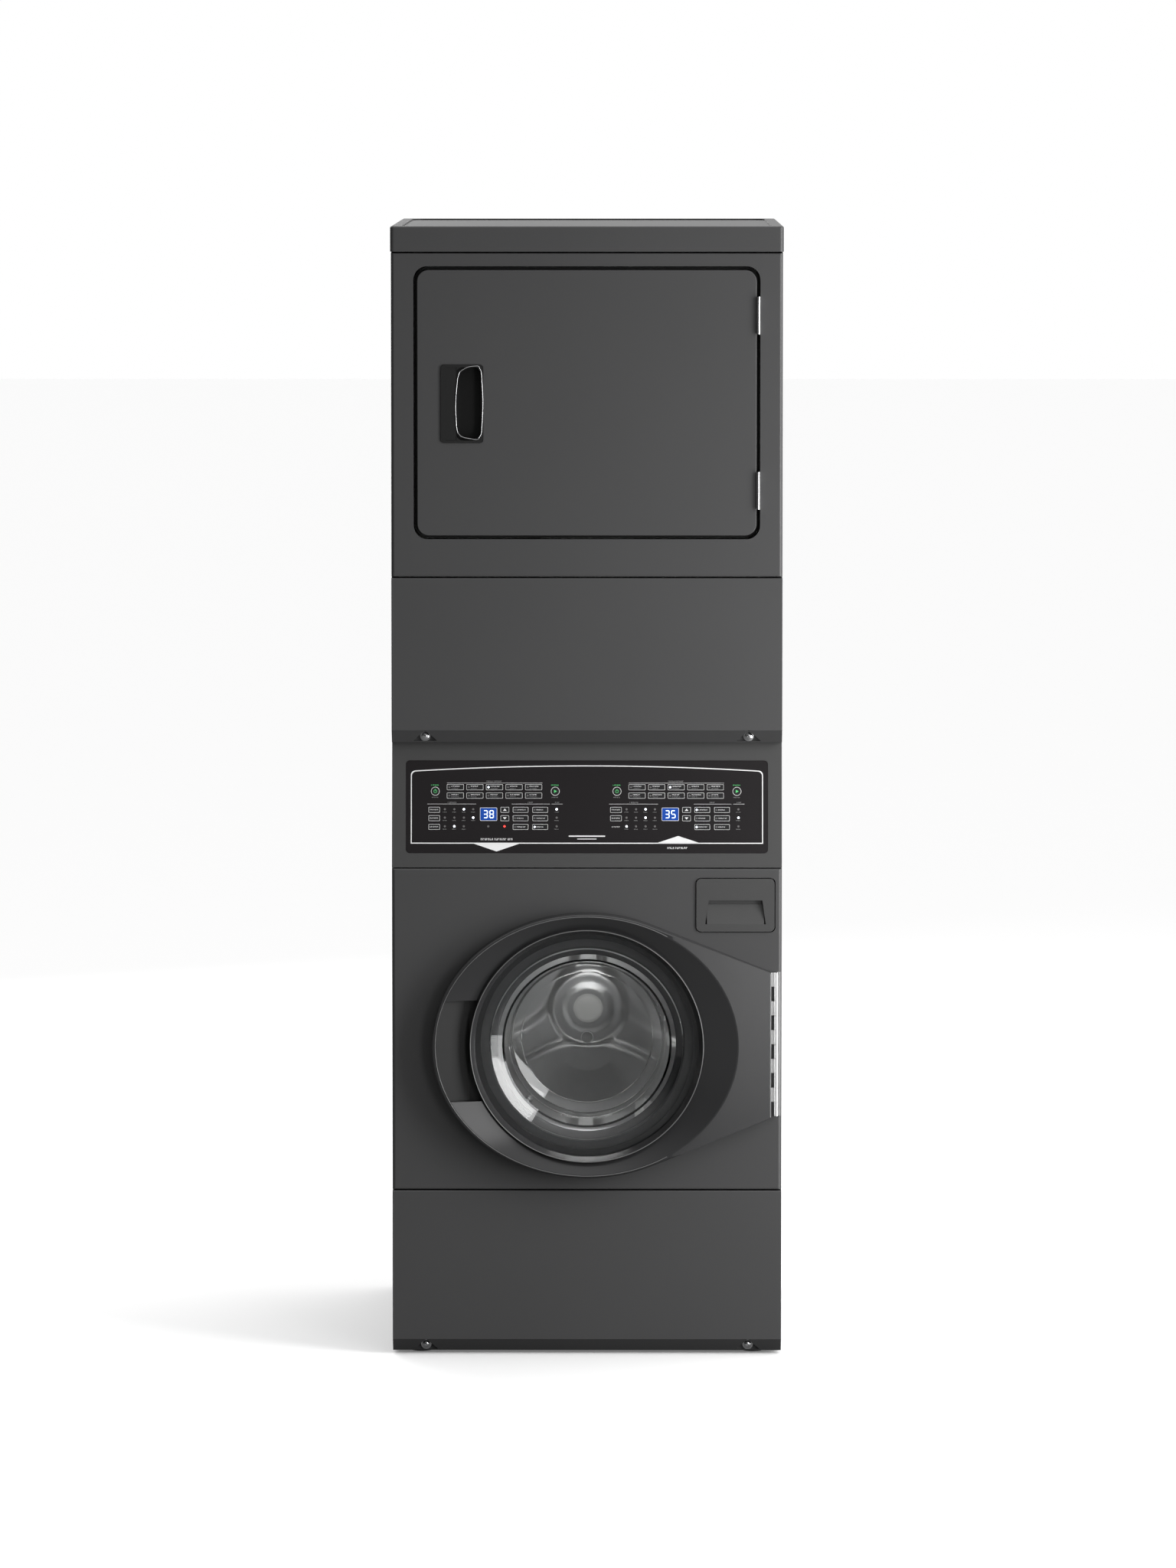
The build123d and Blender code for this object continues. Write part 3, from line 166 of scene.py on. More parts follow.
# ---- materials ----------------------------------------------------------------------------
def surface(name, colour, rough, metallic=0.0, spread=0.05, mottle=5.0, grain=900.0, depth=0.02, wear=0.06,
            stretch=(1, 1, 1), coat=0.0, transmission=0.0, glow=0.0):
    """A procedural finish: mottled colour, uneven roughness and fine grain, all in the object's metres."""
    mat = bpy.data.materials.new(name)
    mat.use_nodes = True
    nodes, links = mat.node_tree.nodes, mat.node_tree.links
    shader = nodes["Principled BSDF"]
    place = nodes.new("ShaderNodeTexCoord")
    scale = nodes.new("ShaderNodeMapping")
    scale.inputs["Scale"].default_value = stretch
    links.new(place.outputs["Object"], scale.inputs["Vector"])

    def noise(size, detail):
        tex = nodes.new("ShaderNodeTexNoise")
        tex.inputs["Scale"].default_value = size
        tex.inputs["Detail"].default_value = detail
        links.new(scale.outputs["Vector"], tex.inputs["Vector"])
        return tex.outputs["Fac"]

    broad = noise(mottle, 5)
    fine = noise(grain, 3)
    tint = nodes.new("ShaderNodeMix")
    tint.data_type = "RGBA"
    tint.inputs[6].default_value = (*[c * (1 - spread) for c in colour], 1)
    tint.inputs[7].default_value = (*[min(1, c * (1 + spread)) for c in colour], 1)
    links.new(broad, tint.inputs[0])
    links.new(tint.outputs[2], shader.inputs["Base Color"])
    band = nodes.new("ShaderNodeMapRange")
    band.inputs["To Min"].default_value = max(0.02, rough - wear)
    band.inputs["To Max"].default_value = min(1, rough + wear)
    links.new(fine, band.inputs["Value"])
    links.new(band.outputs["Result"], shader.inputs["Roughness"])
    bump = nodes.new("ShaderNodeBump")
    bump.inputs["Strength"].default_value = depth
    bump.inputs["Distance"].default_value = MM
    links.new(fine, bump.inputs["Height"])
    links.new(bump.outputs["Normal"], shader.inputs["Normal"])
    shader.inputs["Metallic"].default_value = metallic
    shader.inputs["Coat Weight"].default_value = coat
    shader.inputs["Coat Roughness"].default_value = 0.15
    shader.inputs["Transmission Weight"].default_value = transmission
    if glow:
        shader.inputs["Emission Color"].default_value = (*colour, 1)
        shader.inputs["Emission Strength"].default_value = glow
    return mat


FINISHES = {
    "charcoal_paint": dict(colour=(0.070, 0.070, 0.071), rough=0.42, spread=0.04, grain=1300, depth=0.06,
                           wear=0.05),
    "inner_steel": dict(colour=(0.5, 0.51, 0.52), rough=0.38, metallic=1, spread=0.10, mottle=26, grain=260,
                        depth=0.05),
    "stainless": dict(colour=(0.62, 0.62, 0.62), rough=0.3, metallic=1, grain=420, depth=0.12,
                      stretch=(12, 0.35, 12)),
    "bright_hardware": dict(colour=(0.72, 0.72, 0.73), rough=0.2, metallic=1, grain=700, depth=0.05),
    "console_plastic": dict(colour=(0.064, 0.064, 0.064), rough=0.46, spread=0.03, grain=1600, depth=0.14),
    "overlay_film": dict(colour=(0.018, 0.016, 0.017), rough=0.24, spread=0.05, grain=2200, depth=0.03,
                         wear=0.03),
    "door_plastic": dict(colour=(0.034, 0.034, 0.035), rough=0.2, spread=0.05, grain=1500, depth=0.05,
                         wear=0.04),
    "grip_plastic": dict(colour=(0.005, 0.005, 0.005), rough=0.55, spread=0.06, grain=1300, depth=0.12),
    "clear_glass": dict(colour=(0.95, 0.96, 0.96), rough=0.02, spread=0.01, grain=60, depth=0.0015,
                        wear=0.008, transmission=1.0),
    "grey_rubber": dict(colour=(0.045, 0.045, 0.047), rough=0.5, spread=0.10, mottle=14, grain=900,
                        depth=0.16),
    "black_rubber": dict(colour=(0.018, 0.018, 0.018), rough=0.66, spread=0.15, mottle=20, grain=900,
                         depth=0.2),
    "tub_plastic": dict(colour=(0.10, 0.10, 0.105), rough=0.5, spread=0.05, mottle=12, grain=500, depth=0.1),
    "white_plastic": dict(colour=(0.66, 0.66, 0.64), rough=0.42, spread=0.03, mottle=9, grain=900,
                          depth=0.08),
    "concrete": dict(colour=(0.36, 0.35, 0.33), rough=0.9, spread=0.2, mottle=60, grain=300, depth=0.6),
    "motor_metal": dict(colour=(0.12, 0.12, 0.125), rough=0.45, metallic=0.8, spread=0.12, grain=500,
                        depth=0.15),
    "cast_aluminium": dict(colour=(0.6, 0.6, 0.61), rough=0.42, metallic=1, spread=0.08, grain=350,
                           depth=0.25),
    "brass_fitting": dict(colour=(0.72, 0.52, 0.22), rough=0.3, metallic=1, spread=0.08, grain=500,
                          depth=0.06),
    "circuit_board": dict(colour=(0.015, 0.12, 0.05), rough=0.4, spread=0.15, mottle=60, grain=800,
                          depth=0.06),
    # door_edge is lighter than the door plastic: it paints the highlight along the washer door's rims
    "door_edge": dict(colour=(0.16, 0.16, 0.16), rough=0.22, spread=0.05, grain=1500, depth=0.03, coat=0.6),
    "drum_coat": dict(colour=(0.62, 0.62, 0.60), rough=0.35, spread=0.04, mottle=8, grain=700, depth=0.08),
}
MATERIALS = {name: surface(name, **finish) for name, finish in FINISHES.items()}


def dress_cad():
    """Give each carried-over node the finish of its slot."""
    slots = {part["node"]: part["material_slot"] for part in frame["record"]["subparts"]}
    for node, slot in slots.items():
        shape = bpy.data.objects[node]
        shape.data.materials.clear()
        shape.data.materials.append(MATERIALS[slot])


# ---- mesh helpers -------------------------------------------------------------------------
def piece(name, verts, faces, body, material, smooth=False):
    """A mesh piece that rides on a body."""
    mesh = bpy.data.meshes.new(name)
    mesh.from_pydata([tuple(v) for v in verts], [], faces)
    mesh.validate()
    mesh.update()
    if smooth:
        mesh.polygons.foreach_set("use_smooth", [True] * len(mesh.polygons))
    shape = bpy.data.objects.new(name, mesh)
    scene.collection.objects.link(shape)
    shape.data.materials.append(material)
    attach(shape, body)
    return shape


def rounded_outline(cx, cy, w, h, r, steps=5):
    """Corner points of a rounded rectangle, anticlockwise."""
    points = []
    for quarter, (sx, sy) in enumerate(((1, 1), (-1, 1), (-1, -1), (1, -1))):
        for i in range(steps + 1):
            turn = math.pi / 2 * (quarter + i / steps)
            points.append((cx + sx * (w / 2 - r) + r * math.cos(turn),
                           cy + sy * (h / 2 - r) + r * math.sin(turn)))
    return points


def circle_outline(cx, cy, r, steps=28):
    """Points of a circle, anticlockwise."""
    return [(cx + r * math.cos(2 * math.pi * i / steps), cy + r * math.sin(2 * math.pi * i / steps))
            for i in range(steps)]


def add_slab(verts, faces, outline, bottom, top, place):
    """A thin slab from a closed outline, its points put in space by place(u, v, lift)."""
    n, start = len(outline), len(verts)
    verts.extend(place(u, v, top) for u, v in outline)
    verts.extend(place(u, v, bottom) for u, v in outline)
    faces.append(tuple(range(start, start + n)))
    faces.append(tuple(range(start + 2 * n - 1, start + n - 1, -1)))
    for i in range(n):
        j = (i + 1) % n
        faces.append((start + j, start + i, start + n + i, start + n + j))


def add_frame(verts, faces, outer, inner, bottom, top, place):
    """A thin closed line between two outlines of the same number of points."""
    n, start = len(outer), len(verts)
    for ring, lift in ((outer, top), (inner, top), (inner, bottom), (outer, bottom)):
        verts.extend(place(u, v, lift) for u, v in ring)
    for i in range(n):
        j = (i + 1) % n
        for ring in range(4):
            a, b = start + ring * n, start + (ring + 1) % 4 * n
            faces.append((a + i, a + j, b + j, b + i))


# ---- the console's print, keys, lamps and displays ----------------------------------------
FACE_LEAN = math.atan2(27.0, 219.3)        # how far the console's face leans back
LINE = 0.06 * MM                           # height of printed ink
KEY = 0.35 * MM                            # height of an embossed key
GROUP_STEP = 318.4                         # from the washer's controls to the dryer's
COLUMN_STEP, KEY_ROWS = 34.3, (34.1, 19.5)
SIDE_ROWS = (-5.3, -19.9, -35.0)
LAMP_COLUMNS = (-248.9, -232.3, -215.6, -199.2)


def console_place():
    """A function from millimetres across and up the overlay, and height above it, to the row frame."""
    low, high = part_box("control_overlay")
    middle = (low.z + high.z) / 2
    out = Vector((0, -math.cos(FACE_LEAN), math.sin(FACE_LEAN)))
    up = Vector((0, math.sin(FACE_LEAN), math.cos(FACE_LEAN)))
    thick = 1.45 * MM
    centre = Vector(((low.x + high.x) / 2, (low.y + high.y) / 2, middle)) + out * thick / 2

    def place(u, v, lift):
        return centre + Vector((u * MM, 0, 0)) + up * (v * MM / math.cos(FACE_LEAN)) + out * lift
    return place


class Print:
    """Flat shapes of one colour on the overlay, collected into one piece."""

    def __init__(self, name, material, height=LINE):
        self.name, self.material, self.height = name, material, height
        self.verts, self.faces = [], []

    def shape(self, outline, place, base=0.0):
        add_slab(self.verts, self.faces, outline, base - 0.02 * MM, base + self.height, place)

    def bar(self, u0, u1, v, thick, place, base=0.0):
        self.shape([(u0, v - thick / 2), (u1, v - thick / 2), (u1, v + thick / 2), (u0, v + thick / 2)],
                   place, base)

    def ring(self, outer, inner, place, base=0.0):
        add_frame(self.verts, self.faces, outer, inner, base - 0.02 * MM, base + self.height, place)

    def make(self):
        piece(self.name, self.verts, self.faces, "cabinet", self.material)


def strokes(ink, u, v, total, height, place, seed, base=0.0):
    """A line of plain upright and level strokes that stands for a label."""
    at, i = u, seed
    while at < u + total - height * 0.3:
        wide = height * (0.45 + 0.12 * ((i * 7) % 4))
        thick = height * 0.2
        ink.bar(at, at + wide, v + (height * 0.35 if i % 3 else -height * 0.35), thick, place, base)
        ink.shape([(at, v - height / 2), (at + thick, v - height / 2), (at + thick, v + height / 2),
                   (at, v + height / 2)], place, base)
        if i % 2:
            right = at + wide
            ink.shape([(right - thick, v - height / 2), (right, v - height / 2), (right, v + height / 2),
                       (right - thick, v + height / 2)], place, base)
        at += wide + height * (0.75 if (i * 5) % 7 == 0 else 0.28)
        i += 1


SEGMENTS = {"3": "abgcd", "5": "afgcd", "8": "abcdefg"}


def digit(ink, char, u, v, w, h, place, base):
    """One seven-segment figure."""
    t = h * 0.13
    level = {"a": h / 2, "g": 0, "d": -h / 2}
    upright = {"f": (-w / 2, 1), "b": (w / 2, 1), "e": (-w / 2, -1), "c": (w / 2, -1)}
    for name in SEGMENTS[char]:
        if name in level:
            ink.bar(u - w / 2 + t * 0.3, u + w / 2 - t * 0.3, v + level[name], t, place, base)
        else:
            x, side = upright[name]
            y0, y1 = (t * 0.4, h / 2 - t * 0.2) if side > 0 else (-h / 2 + t * 0.2, -t * 0.4)
            ink.shape([(u + x - t / 2, v + y0), (u + x + t / 2, v + y0), (u + x + t / 2, v + y1),
                       (u + x - t / 2, v + y1)], place, base)


def outlined_key(inks, u, v, width, height, place):
    """A flat key: a dark pad inside a thin printed outline."""
    inks["key"].shape(rounded_outline(u, v, width, height, 1.4), place)
    inks["white"].ring(rounded_outline(u, v, width, height, 1.4),
                       rounded_outline(u, v, width - 1.0, height - 1.0, 1.0), place, KEY)


def control_group(offset, number, lit, side_keys, lit_keys, inks, place):
    """One machine's keys, lamps, labels and display."""
    white, grey, key, off, on, green, screen, glow = (inks[n] for n in
        ("white", "grey", "key", "off", "on", "green", "screen", "glow"))
    for n, u in enumerate((-265.7, -55.5)):
        ring = circle_outline(u + offset, 27.0, 7.6), circle_outline(u + offset, 27.0, 6.9)
        white.ring(*ring, place)
        key.shape(circle_outline(u + offset, 27.0, 6.6), place)
        if n == 0:
            green.ring(circle_outline(u + offset, 27.0, 2.9, 20), circle_outline(u + offset, 27.0, 2.2, 20),
                       place, KEY)
            green.bar(u + offset - 0.35, u + offset + 0.35, 29.2, 3.4, place, KEY)
        else:
            green.shape([(u + offset - 2.0, 24.2), (u + offset + 3.0, 27.0), (u + offset - 2.0, 29.8)], place,
                        KEY)
        strokes(green, u + offset - 7, 37.6, 14, 2.0, place, n)
        strokes(grey, u + offset - 6, 16.4, 12, 1.7, place, n + 3)
    white.bar(offset - 245.0, offset - 77.9, 41.3, 0.45, place)
    strokes(grey, offset - 176, 44.3, 28, 2.2, place, 2)
    for row, v in enumerate(KEY_ROWS):
        for column in range(5):
            u = offset - 245.4 + 14.8 + column * COLUMN_STEP
            outlined_key(inks, u, v, 29.5, 10.0, place)
            lamp = on if (column, row) in lit_keys else off
            lamp.shape(circle_outline(u - 10.5, v, 1.7, 16), place, KEY)
            strokes(white, u - 7, v + 1.5, 16 - 3 * ((column + row) % 2), 1.9, place, column + row * 2, KEY)
            strokes(grey, u - 7, v - 2.1, 13 - 3 * (column % 2), 1.5, place, column * 3 + row, KEY)
    for u0, u1, mid in ((-279.6, -193.9, 14), (-131.4, -65.2, 10), (-62.0, -42.5, 7)):
        white.bar(offset + u0, offset + u1, 4.8, 0.45, place)
        strokes(grey, offset + (u0 + u1) / 2 - mid / 2, 7.6, mid, 2.0, place, int(mid))
    for row, v in enumerate(SIDE_ROWS):
        if row < side_keys:
            outlined_key(inks, offset - 267.5, v, 19.9, 9.8, place)
        strokes(white, offset - 275, v + 0.2, 14, 1.9, place, row + 4, KEY if row < side_keys else 0)
        for column, u in enumerate(LAMP_COLUMNS):
            if row == 2 and column == 3 and side_keys == 3:
                continue
            lamp = on if (column, row) in lit else off
            lamp.shape(circle_outline(offset + u, v + 1.0, 1.9, 18), place)
            strokes(grey, offset + u - 3.6, v - 4.0, 7.2, 1.5, place, row + column)
        for column, u in enumerate((-116.2, -81.8)):
            outlined_key(inks, offset + u, v, 27.0, 9.8, place)
            lamp = on if (column + 4, row) in lit else off
            lamp.shape(circle_outline(offset + u - 9.8, v, 1.6, 16), place, KEY)
            strokes(white, offset + u - 6.6, v, 16 - 4 * ((column + row) % 2), 1.8, place, column + row, KEY)
        lamp = on if (6, row) in lit else off
        lamp.shape(circle_outline(offset - 52.9, v + 1.0, 1.9, 18), place)
        strokes(grey, offset - 57, v - 4.0, 8, 1.4, place, row)
    screen.shape(rounded_outline(offset - 172.3, -12.9, 28.6, 21.6, 1.4), place)
    white.ring(rounded_outline(offset - 172.3, -12.9, 30.0, 23.0, 1.8),
               rounded_outline(offset - 172.3, -12.9, 28.7, 21.7, 1.4), place)
    for i, char in enumerate(number):
        digit(glow, char, offset - 177.6 + 10.6 * i, -12.9, 6.2, 12.5, place, LINE)
    for row in (0, 1):
        outlined_key(inks, offset - 143.8, SIDE_ROWS[row], 14.8, 9.8, place)
        tip, flat = (2.2, -1.6) if row == 0 else (-2.2, 1.6)
        arrow = [(offset - 147.0, SIDE_ROWS[row] + flat), (offset - 140.6, SIDE_ROWS[row] + flat),
                 (offset - 143.8, SIDE_ROWS[row] + tip)]
        white.shape(arrow if row == 0 else arrow[::-1], place, KEY)


def border_outline(inset):
    """The printed border: square feet, rounded shoulders and a top line that bows upwards."""
    half, low, shoulder, crown, r = 308.6 - inset, -64.1 + inset, 63.1 - inset, 72.0 - inset, 8.0
    points = [(-half, low), (half, low)]
    points += [(half - r + r * math.cos(t), shoulder - r + r * math.sin(t))
               for t in (math.pi / 2 * i / 6 for i in range(7))]
    count = 36
    for i in range(1, count):
        u = (half - r) * (1 - 2 * i / count)
        points.append((u, shoulder + (crown - shoulder) * (1 - (u / (half - r)) ** 2)))
    points += [(-half + r - r * math.sin(t), shoulder - r + r * math.cos(t))
               for t in (math.pi / 2 * i / 6 for i in range(7))]
    return points


def console_print():
    """Everything printed or lit on the overlay: both machines' controls, the border and the pointers."""
    place = console_place()
    ink = {
        # white print also glows a little: painted glow, the ink is no lamp
        "white": ("print_white_painted_glow", (0.86, 0.86, 0.86), 0.5, 0.12, LINE),
        "grey": ("print_grey", (0.30, 0.30, 0.30), 0.5, 0, LINE),
        "key": ("keys", (0.014, 0.014, 0.015), 0.35, 0, KEY),
        "off": ("lamps_off", (0.16, 0.155, 0.155), 0.35, 0, LINE),
        "on": ("lamps_on", (0.85, 0.90, 1.0), 0.3, 3.0, LINE),
        "red": ("lamp_red", (1.0, 0.05, 0.04), 0.3, 2.2, LINE),
        # green labels and icons glow: painted glow on print, not a lamp
        "green": ("print_green_painted_glow", (0.10, 0.55, 0.18), 0.5, 0.35, LINE),
        "screen": ("display_glass", (0.015, 0.07, 0.36), 0.16, 0.3, LINE),
        "glow": ("display_figures", (0.80, 0.90, 1.0), 0.3, 1.0, LINE),
    }
    inks = {key: Print(name, surface(name, colour, rough, spread=0.04, mottle=40, grain=1800, depth=0.04,
                                     glow=glow), h)
            for key, (name, colour, rough, glow, h) in ink.items()}
    control_group(0.0, "38", {(2, 0), (3, 1), (1, 2), (5, 2), (6, 0)}, 3, {(2, 0)}, inks, place)
    control_group(GROUP_STEP, "35", {(2, 0), (2, 1), (0, 2), (4, 0), (4, 2), (6, 1)}, 2, {(2, 0)}, inks,
                  place)
    inks["off"].shape(circle_outline(-172.8, -34.0, 1.9, 18), place)
    inks["red"].shape(circle_outline(-144.3, -34.0, 1.9, 18), place)
    white = inks["white"]
    white.ring(border_outline(0.0), border_outline(1.7), place)
    white.shape([(-199.0, -63.8), (-158.2, -77.7), (-117.4, -63.8)], place)
    white.shape([(119.6, -63.8), (200.4, -63.8), (160.0, -50.6)], place)
    strokes(white, -186, -56.5, 56, 3.4, place, 1)
    strokes(white, 141, -71.5, 38, 3.4, place, 4)
    white.shape(rounded_outline(0, -51, 64, 2.2, 1.0), place)
    white.shape(rounded_outline(0, -56, 34, 1.3, 0.6), place)
    for print_run in inks.values():
        print_run.make()


# ---- turned and perforated shapes ---------------------------------------------------------
def turned(name, profile, axis_z, body, material, steps=96, smooth=True, replaces=()):
    """A closed profile of (radius, y) points in metres, turned about an axis along Y."""
    verts, faces = [], []
    n = len(profile)
    for i in range(steps):
        turn = 2 * math.pi * i / steps
        verts += [(r * math.cos(turn), y, axis_z + r * math.sin(turn)) for r, y in profile]
    for i in range(steps):
        a, b = i * n, (i + 1) % steps * n
        for j in range(n):
            k = (j + 1) % n
            faces.append((a + j, a + k, b + k, b + j))
    shape = piece(name, verts, faces, body, material, smooth)
    weld_and_turn_out(shape)
    if replaces:
        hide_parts(*replaces)
    return shape


def weld_and_turn_out(shape):
    """Join points that meet on the axis and make all faces look outwards."""
    mesh = bmesh.new()
    mesh.from_mesh(shape.data)
    bmesh.ops.remove_doubles(mesh, verts=mesh.verts, dist=1e-6)
    bmesh.ops.dissolve_degenerate(mesh, dist=1e-7, edges=mesh.edges)
    bmesh.ops.recalc_face_normals(mesh, faces=mesh.faces)
    mesh.to_mesh(shape.data)
    mesh.free()


def keep_sharp(shape, degrees=32):
    """Leave edges sharper than this angle unsmoothed."""
    shape.data.set_sharp_from_angle(angle=math.radians(degrees))


def perforated_wall(name, radius, y0, y1, around, hole, axis_z, body, material):
    """A cylinder wall of hexagonal cells, each with a six-sided hole, in staggered rows."""
    cell = 2 * math.pi * radius / around
    rise = cell * math.sqrt(3) / 2
    rows = int((y1 - y0) / rise)
    side = cell / math.sqrt(3)
    verts, faces, seen = [], [], {}

    def point(s, y, r):
        key = (round(s % (2 * math.pi * radius), 5), round(y, 5), r)
        if key not in seen:
            turn = s / radius
            seen[key] = len(verts)
            verts.append((r * math.cos(turn), y, axis_z + r * math.sin(turn)))
        return seen[key]

    for row in range(rows):
        y = y0 + (row + 0.5) * rise
        for i in range(around):
            s = (i + 0.5 * (row % 2)) * cell
            turns = [math.radians(60 * k + 30) for k in range(6)]
            outer = [point(s + side * math.cos(t), y + side * math.sin(t), radius) for t in turns]
            inner = [point(s + hole * math.cos(t), y + hole * math.sin(t), radius) for t in turns]
            for k in range(6):
                m = (k + 1) % 6
                faces.append((outer[k], outer[m], inner[m], inner[k]))
    shape = piece(name, verts, faces, body, material, smooth=True)
    return shape


def wash_basket():
    """The perforated basket, its rolled mouth and its pressed back, in place of the plain CAD basket."""
    low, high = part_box("wash_drum")
    radius = (high.x - low.x) / 2
    front, rear = low.y, high.y
    steel = MATERIALS["stainless"]
    wall = perforated_wall("basket_wall", radius - 0.9 * MM, front + 0.040, rear - 0.014, 200, 2.2 * MM,
                           DOOR_Z, "wash_basket", steel)
    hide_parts("wash_drum")
    r, t = radius, 1.2 * MM
    mouth = [(0.190, front + 0.010), (0.190, front + 0.003), (0.194, front), (r - 0.020, front),
             (r - 0.006, front + 0.004), (r, front + 0.014), (r, front + 0.034), (r - 0.002, front + 0.038),
             (r, front + 0.042), (r, front + 0.046), (r - t, front + 0.046), (r - t, front + 0.042),
             (r - 0.002 - t, front + 0.038), (r - t, front + 0.034), (r - t, front + 0.015),
             (r - 0.007, front + 0.005 + t), (r - 0.020, front + t), (0.195, front + t),
             (0.1915, front + 0.004), (0.1915, front + 0.010)]
    keep_sharp(turned("basket_mouth", mouth, DOOR_Z, "wash_basket", steel))
    pressed_back("basket_back", radius, rear, steel)
    cap = [(0.0, -0.031), (0.020, -0.031), (0.026, -0.029), (0.029, -0.023), (0.029, -0.0205), (0.0, -0.0205)]
    turned("hub_cap", [(q, rear + y) for q, y in cap], DOOR_Z, "wash_basket",
           MATERIALS["white_plastic"], 48)
    bolts = []
    for lobe in (30, 150, 270):
        for off in (-33, 33):
            turn = math.radians(lobe + off)
            bolts.append((0.212 * math.cos(turn), DOOR_Z + 0.212 * math.sin(turn)))
    screw_heads("basket_bolts", bolts, rear - 0.003, 0.0062, "wash_basket", facing=-1)


def pressed_back(name, radius, rear, material):
    """The basket's back: a three-armed raised star between the baffles, and a stepped hub."""
    steps, rings = 144, 46
    hub = ((0.0, 0.012), (0.040, 0.012), (0.046, 0.008), (0.066, 0.008), (0.072, 0.0))
    verts, faces = [], []

    def height(r, turn):
        off = (turn - 30 + 60) % 120 - 60
        across, along = r * math.sin(math.radians(off)), r * math.cos(math.radians(off))
        edge = (0.074 + 2.8 * across ** 2 - along) / 0.026
        share = min(1.0, max(0.0, edge))
        lift = 0.003 + 0.012 * share * share * (3 - 2 * share)
        for (r0, h0), (r1, h1) in zip(hub, hub[1:]):
            if r0 <= r < r1:
                lift = 0.015 + h0 + (h1 - h0) * (r - r0) / (r1 - r0)
        if r > radius - 0.014:
            lift = max(lift, 0.003 + 0.018 * ((r - radius + 0.014) / 0.014) ** 2)
        return lift

    for ring in range(1, rings + 1):
        r = (radius - 0.001) * ring / rings
        for i in range(steps):
            turn = 360 * i / steps
            spot = math.radians(turn)
            verts.append((r * math.cos(spot), rear - height(r, turn), DOOR_Z + r * math.sin(spot)))
    for ring in range(rings - 1):
        for i in range(steps):
            j = (i + 1) % steps
            a, b = ring * steps, (ring + 1) * steps
            faces.append((a + i, a + j, b + j, b + i))
    middle = len(verts)
    verts.append((0, rear - height(0, 0), DOOR_Z))
    faces += [(middle, (i + 1) % steps, i) for i in range(steps)]
    shape = piece(name, verts, faces, "wash_basket", material, smooth=True)
    shell = shape.modifiers.new("sheet", "SOLIDIFY")
    shell.thickness = 0.0015
    shell.offset = 1
    return shape


def screw_heads(name, places, y, radius, body, facing, material="bright_hardware"):
    """Domed heads with a washer and a cross recess, facing along -Y or +Y."""
    verts, faces = [], []
    steps = 20
    rings = [(1.35, 0.0), (1.35, 0.12), (1.0, 0.14), (0.96, 0.42), (0.72, 0.60), (0.34, 0.68), (0.30, 0.40)]
    for x, z in places:
        start = len(verts)
        for share, lift in rings:
            for i in range(steps):
                turn = 2 * math.pi * i / steps
                pull = 0.55 if share <= 0.34 and i % 5 in (2, 3) else 1.0
                verts.append((x + radius * share * pull * math.cos(turn), y + facing * radius * lift,
                              z + radius * share * pull * math.sin(turn)))
        for ring in range(len(rings) - 1):
            for i in range(steps):
                j = (i + 1) % steps
                a, b = start + ring * steps, start + (ring + 1) * steps
                faces.append((a + i, a + j, b + j, b + i))
        faces.append(tuple(range(start, start + steps)))
        last = start + (len(rings) - 1) * steps
        faces.append(tuple(range(last, last + steps)))
    shape = piece(name, verts, faces, body, MATERIALS[material], smooth=True)
    weld_and_turn_out(shape)
    keep_sharp(shape)
    return shape


def gasket():
    """The door's rubber bellows, with a soft lip and folds."""
    low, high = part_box("door_gasket")
    y0, y1 = low.y, high.y
    mid = (y0 + y1) / 2
    outside = [(0.1770, y0), (0.1775, y0 + 0.006), (0.1690, y0 + 0.009), (0.1690, mid - 0.003), (0.1780, mid),
               (0.1690, mid + 0.004), (0.1690, y1 - 0.004), (0.1780, y1 - 0.003), (0.1785, y1)]
    inside = [(0.1620, y1), (0.1620, mid + 0.006), (0.1700, mid + 0.002), (0.1725, mid),
              (0.1700, mid - 0.002), (0.1620, mid - 0.006), (0.1605, y0 + 0.007), (0.1585, y0 + 0.005),
              (0.1580, y0 + 0.003), (0.1600, y0 + 0.0005)]
    shape = turned("gasket_bellows", outside + inside, DOOR_Z, "cabinet",
                   MATERIALS["grey_rubber"], replaces=["door_gasket"])
    smooth = shape.modifiers.new("soften", "SUBSURF")
    smooth.levels = smooth.render_levels = 1


def springs():
    """Coil springs with hooked ends, in place of the plain sleeves."""
    low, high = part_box("suspension_springs")
    radius, wire, turns = 0.010, 0.0018, 22
    curve = bpy.data.curves.new("spring_coils", "CURVE")
    curve.dimensions = "3D"
    curve.bevel_depth = wire
    curve.bevel_resolution = 2
    for side in (-1, 1):
        x = side * (high.x - 0.012)
        count = turns * 12
        points = [(x, 0, low.z + 0.002)]
        for i in range(count + 1):
            turn = 2 * math.pi * i / 12
            z = low.z + 0.010 + (high.z - low.z - 0.020) * i / count
            points.append((x + radius * math.cos(turn), radius * math.sin(turn), z))
        points.append((x, 0, high.z - 0.002))
        spline = curve.splines.new("POLY")
        spline.points.add(len(points) - 1)
        for target, point in zip(spline.points, points):
            target.co = (*point, 1)
    curve.materials.append(MATERIALS["bright_hardware"])
    coils = bpy.data.objects.new("spring_coils", curve)
    scene.collection.objects.link(coils)
    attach(coils, "cabinet")
    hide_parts("suspension_springs")


def tube_run(name, points, radius, body, slot, closed=True):
    """A thin round bead along a run of points."""
    curve = bpy.data.curves.new(name, "CURVE")
    curve.dimensions = "3D"
    curve.bevel_depth = radius
    curve.bevel_resolution = 3
    spline = curve.splines.new("POLY")
    spline.points.add(len(points) - 1)
    for target, point in zip(spline.points, points):
        target.co = (*point, 1)
    spline.use_cyclic_u = closed
    curve.materials.append(MATERIALS[slot])
    run = bpy.data.objects.new(name, curve)
    scene.collection.objects.link(run)
    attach(run, body)
    return run


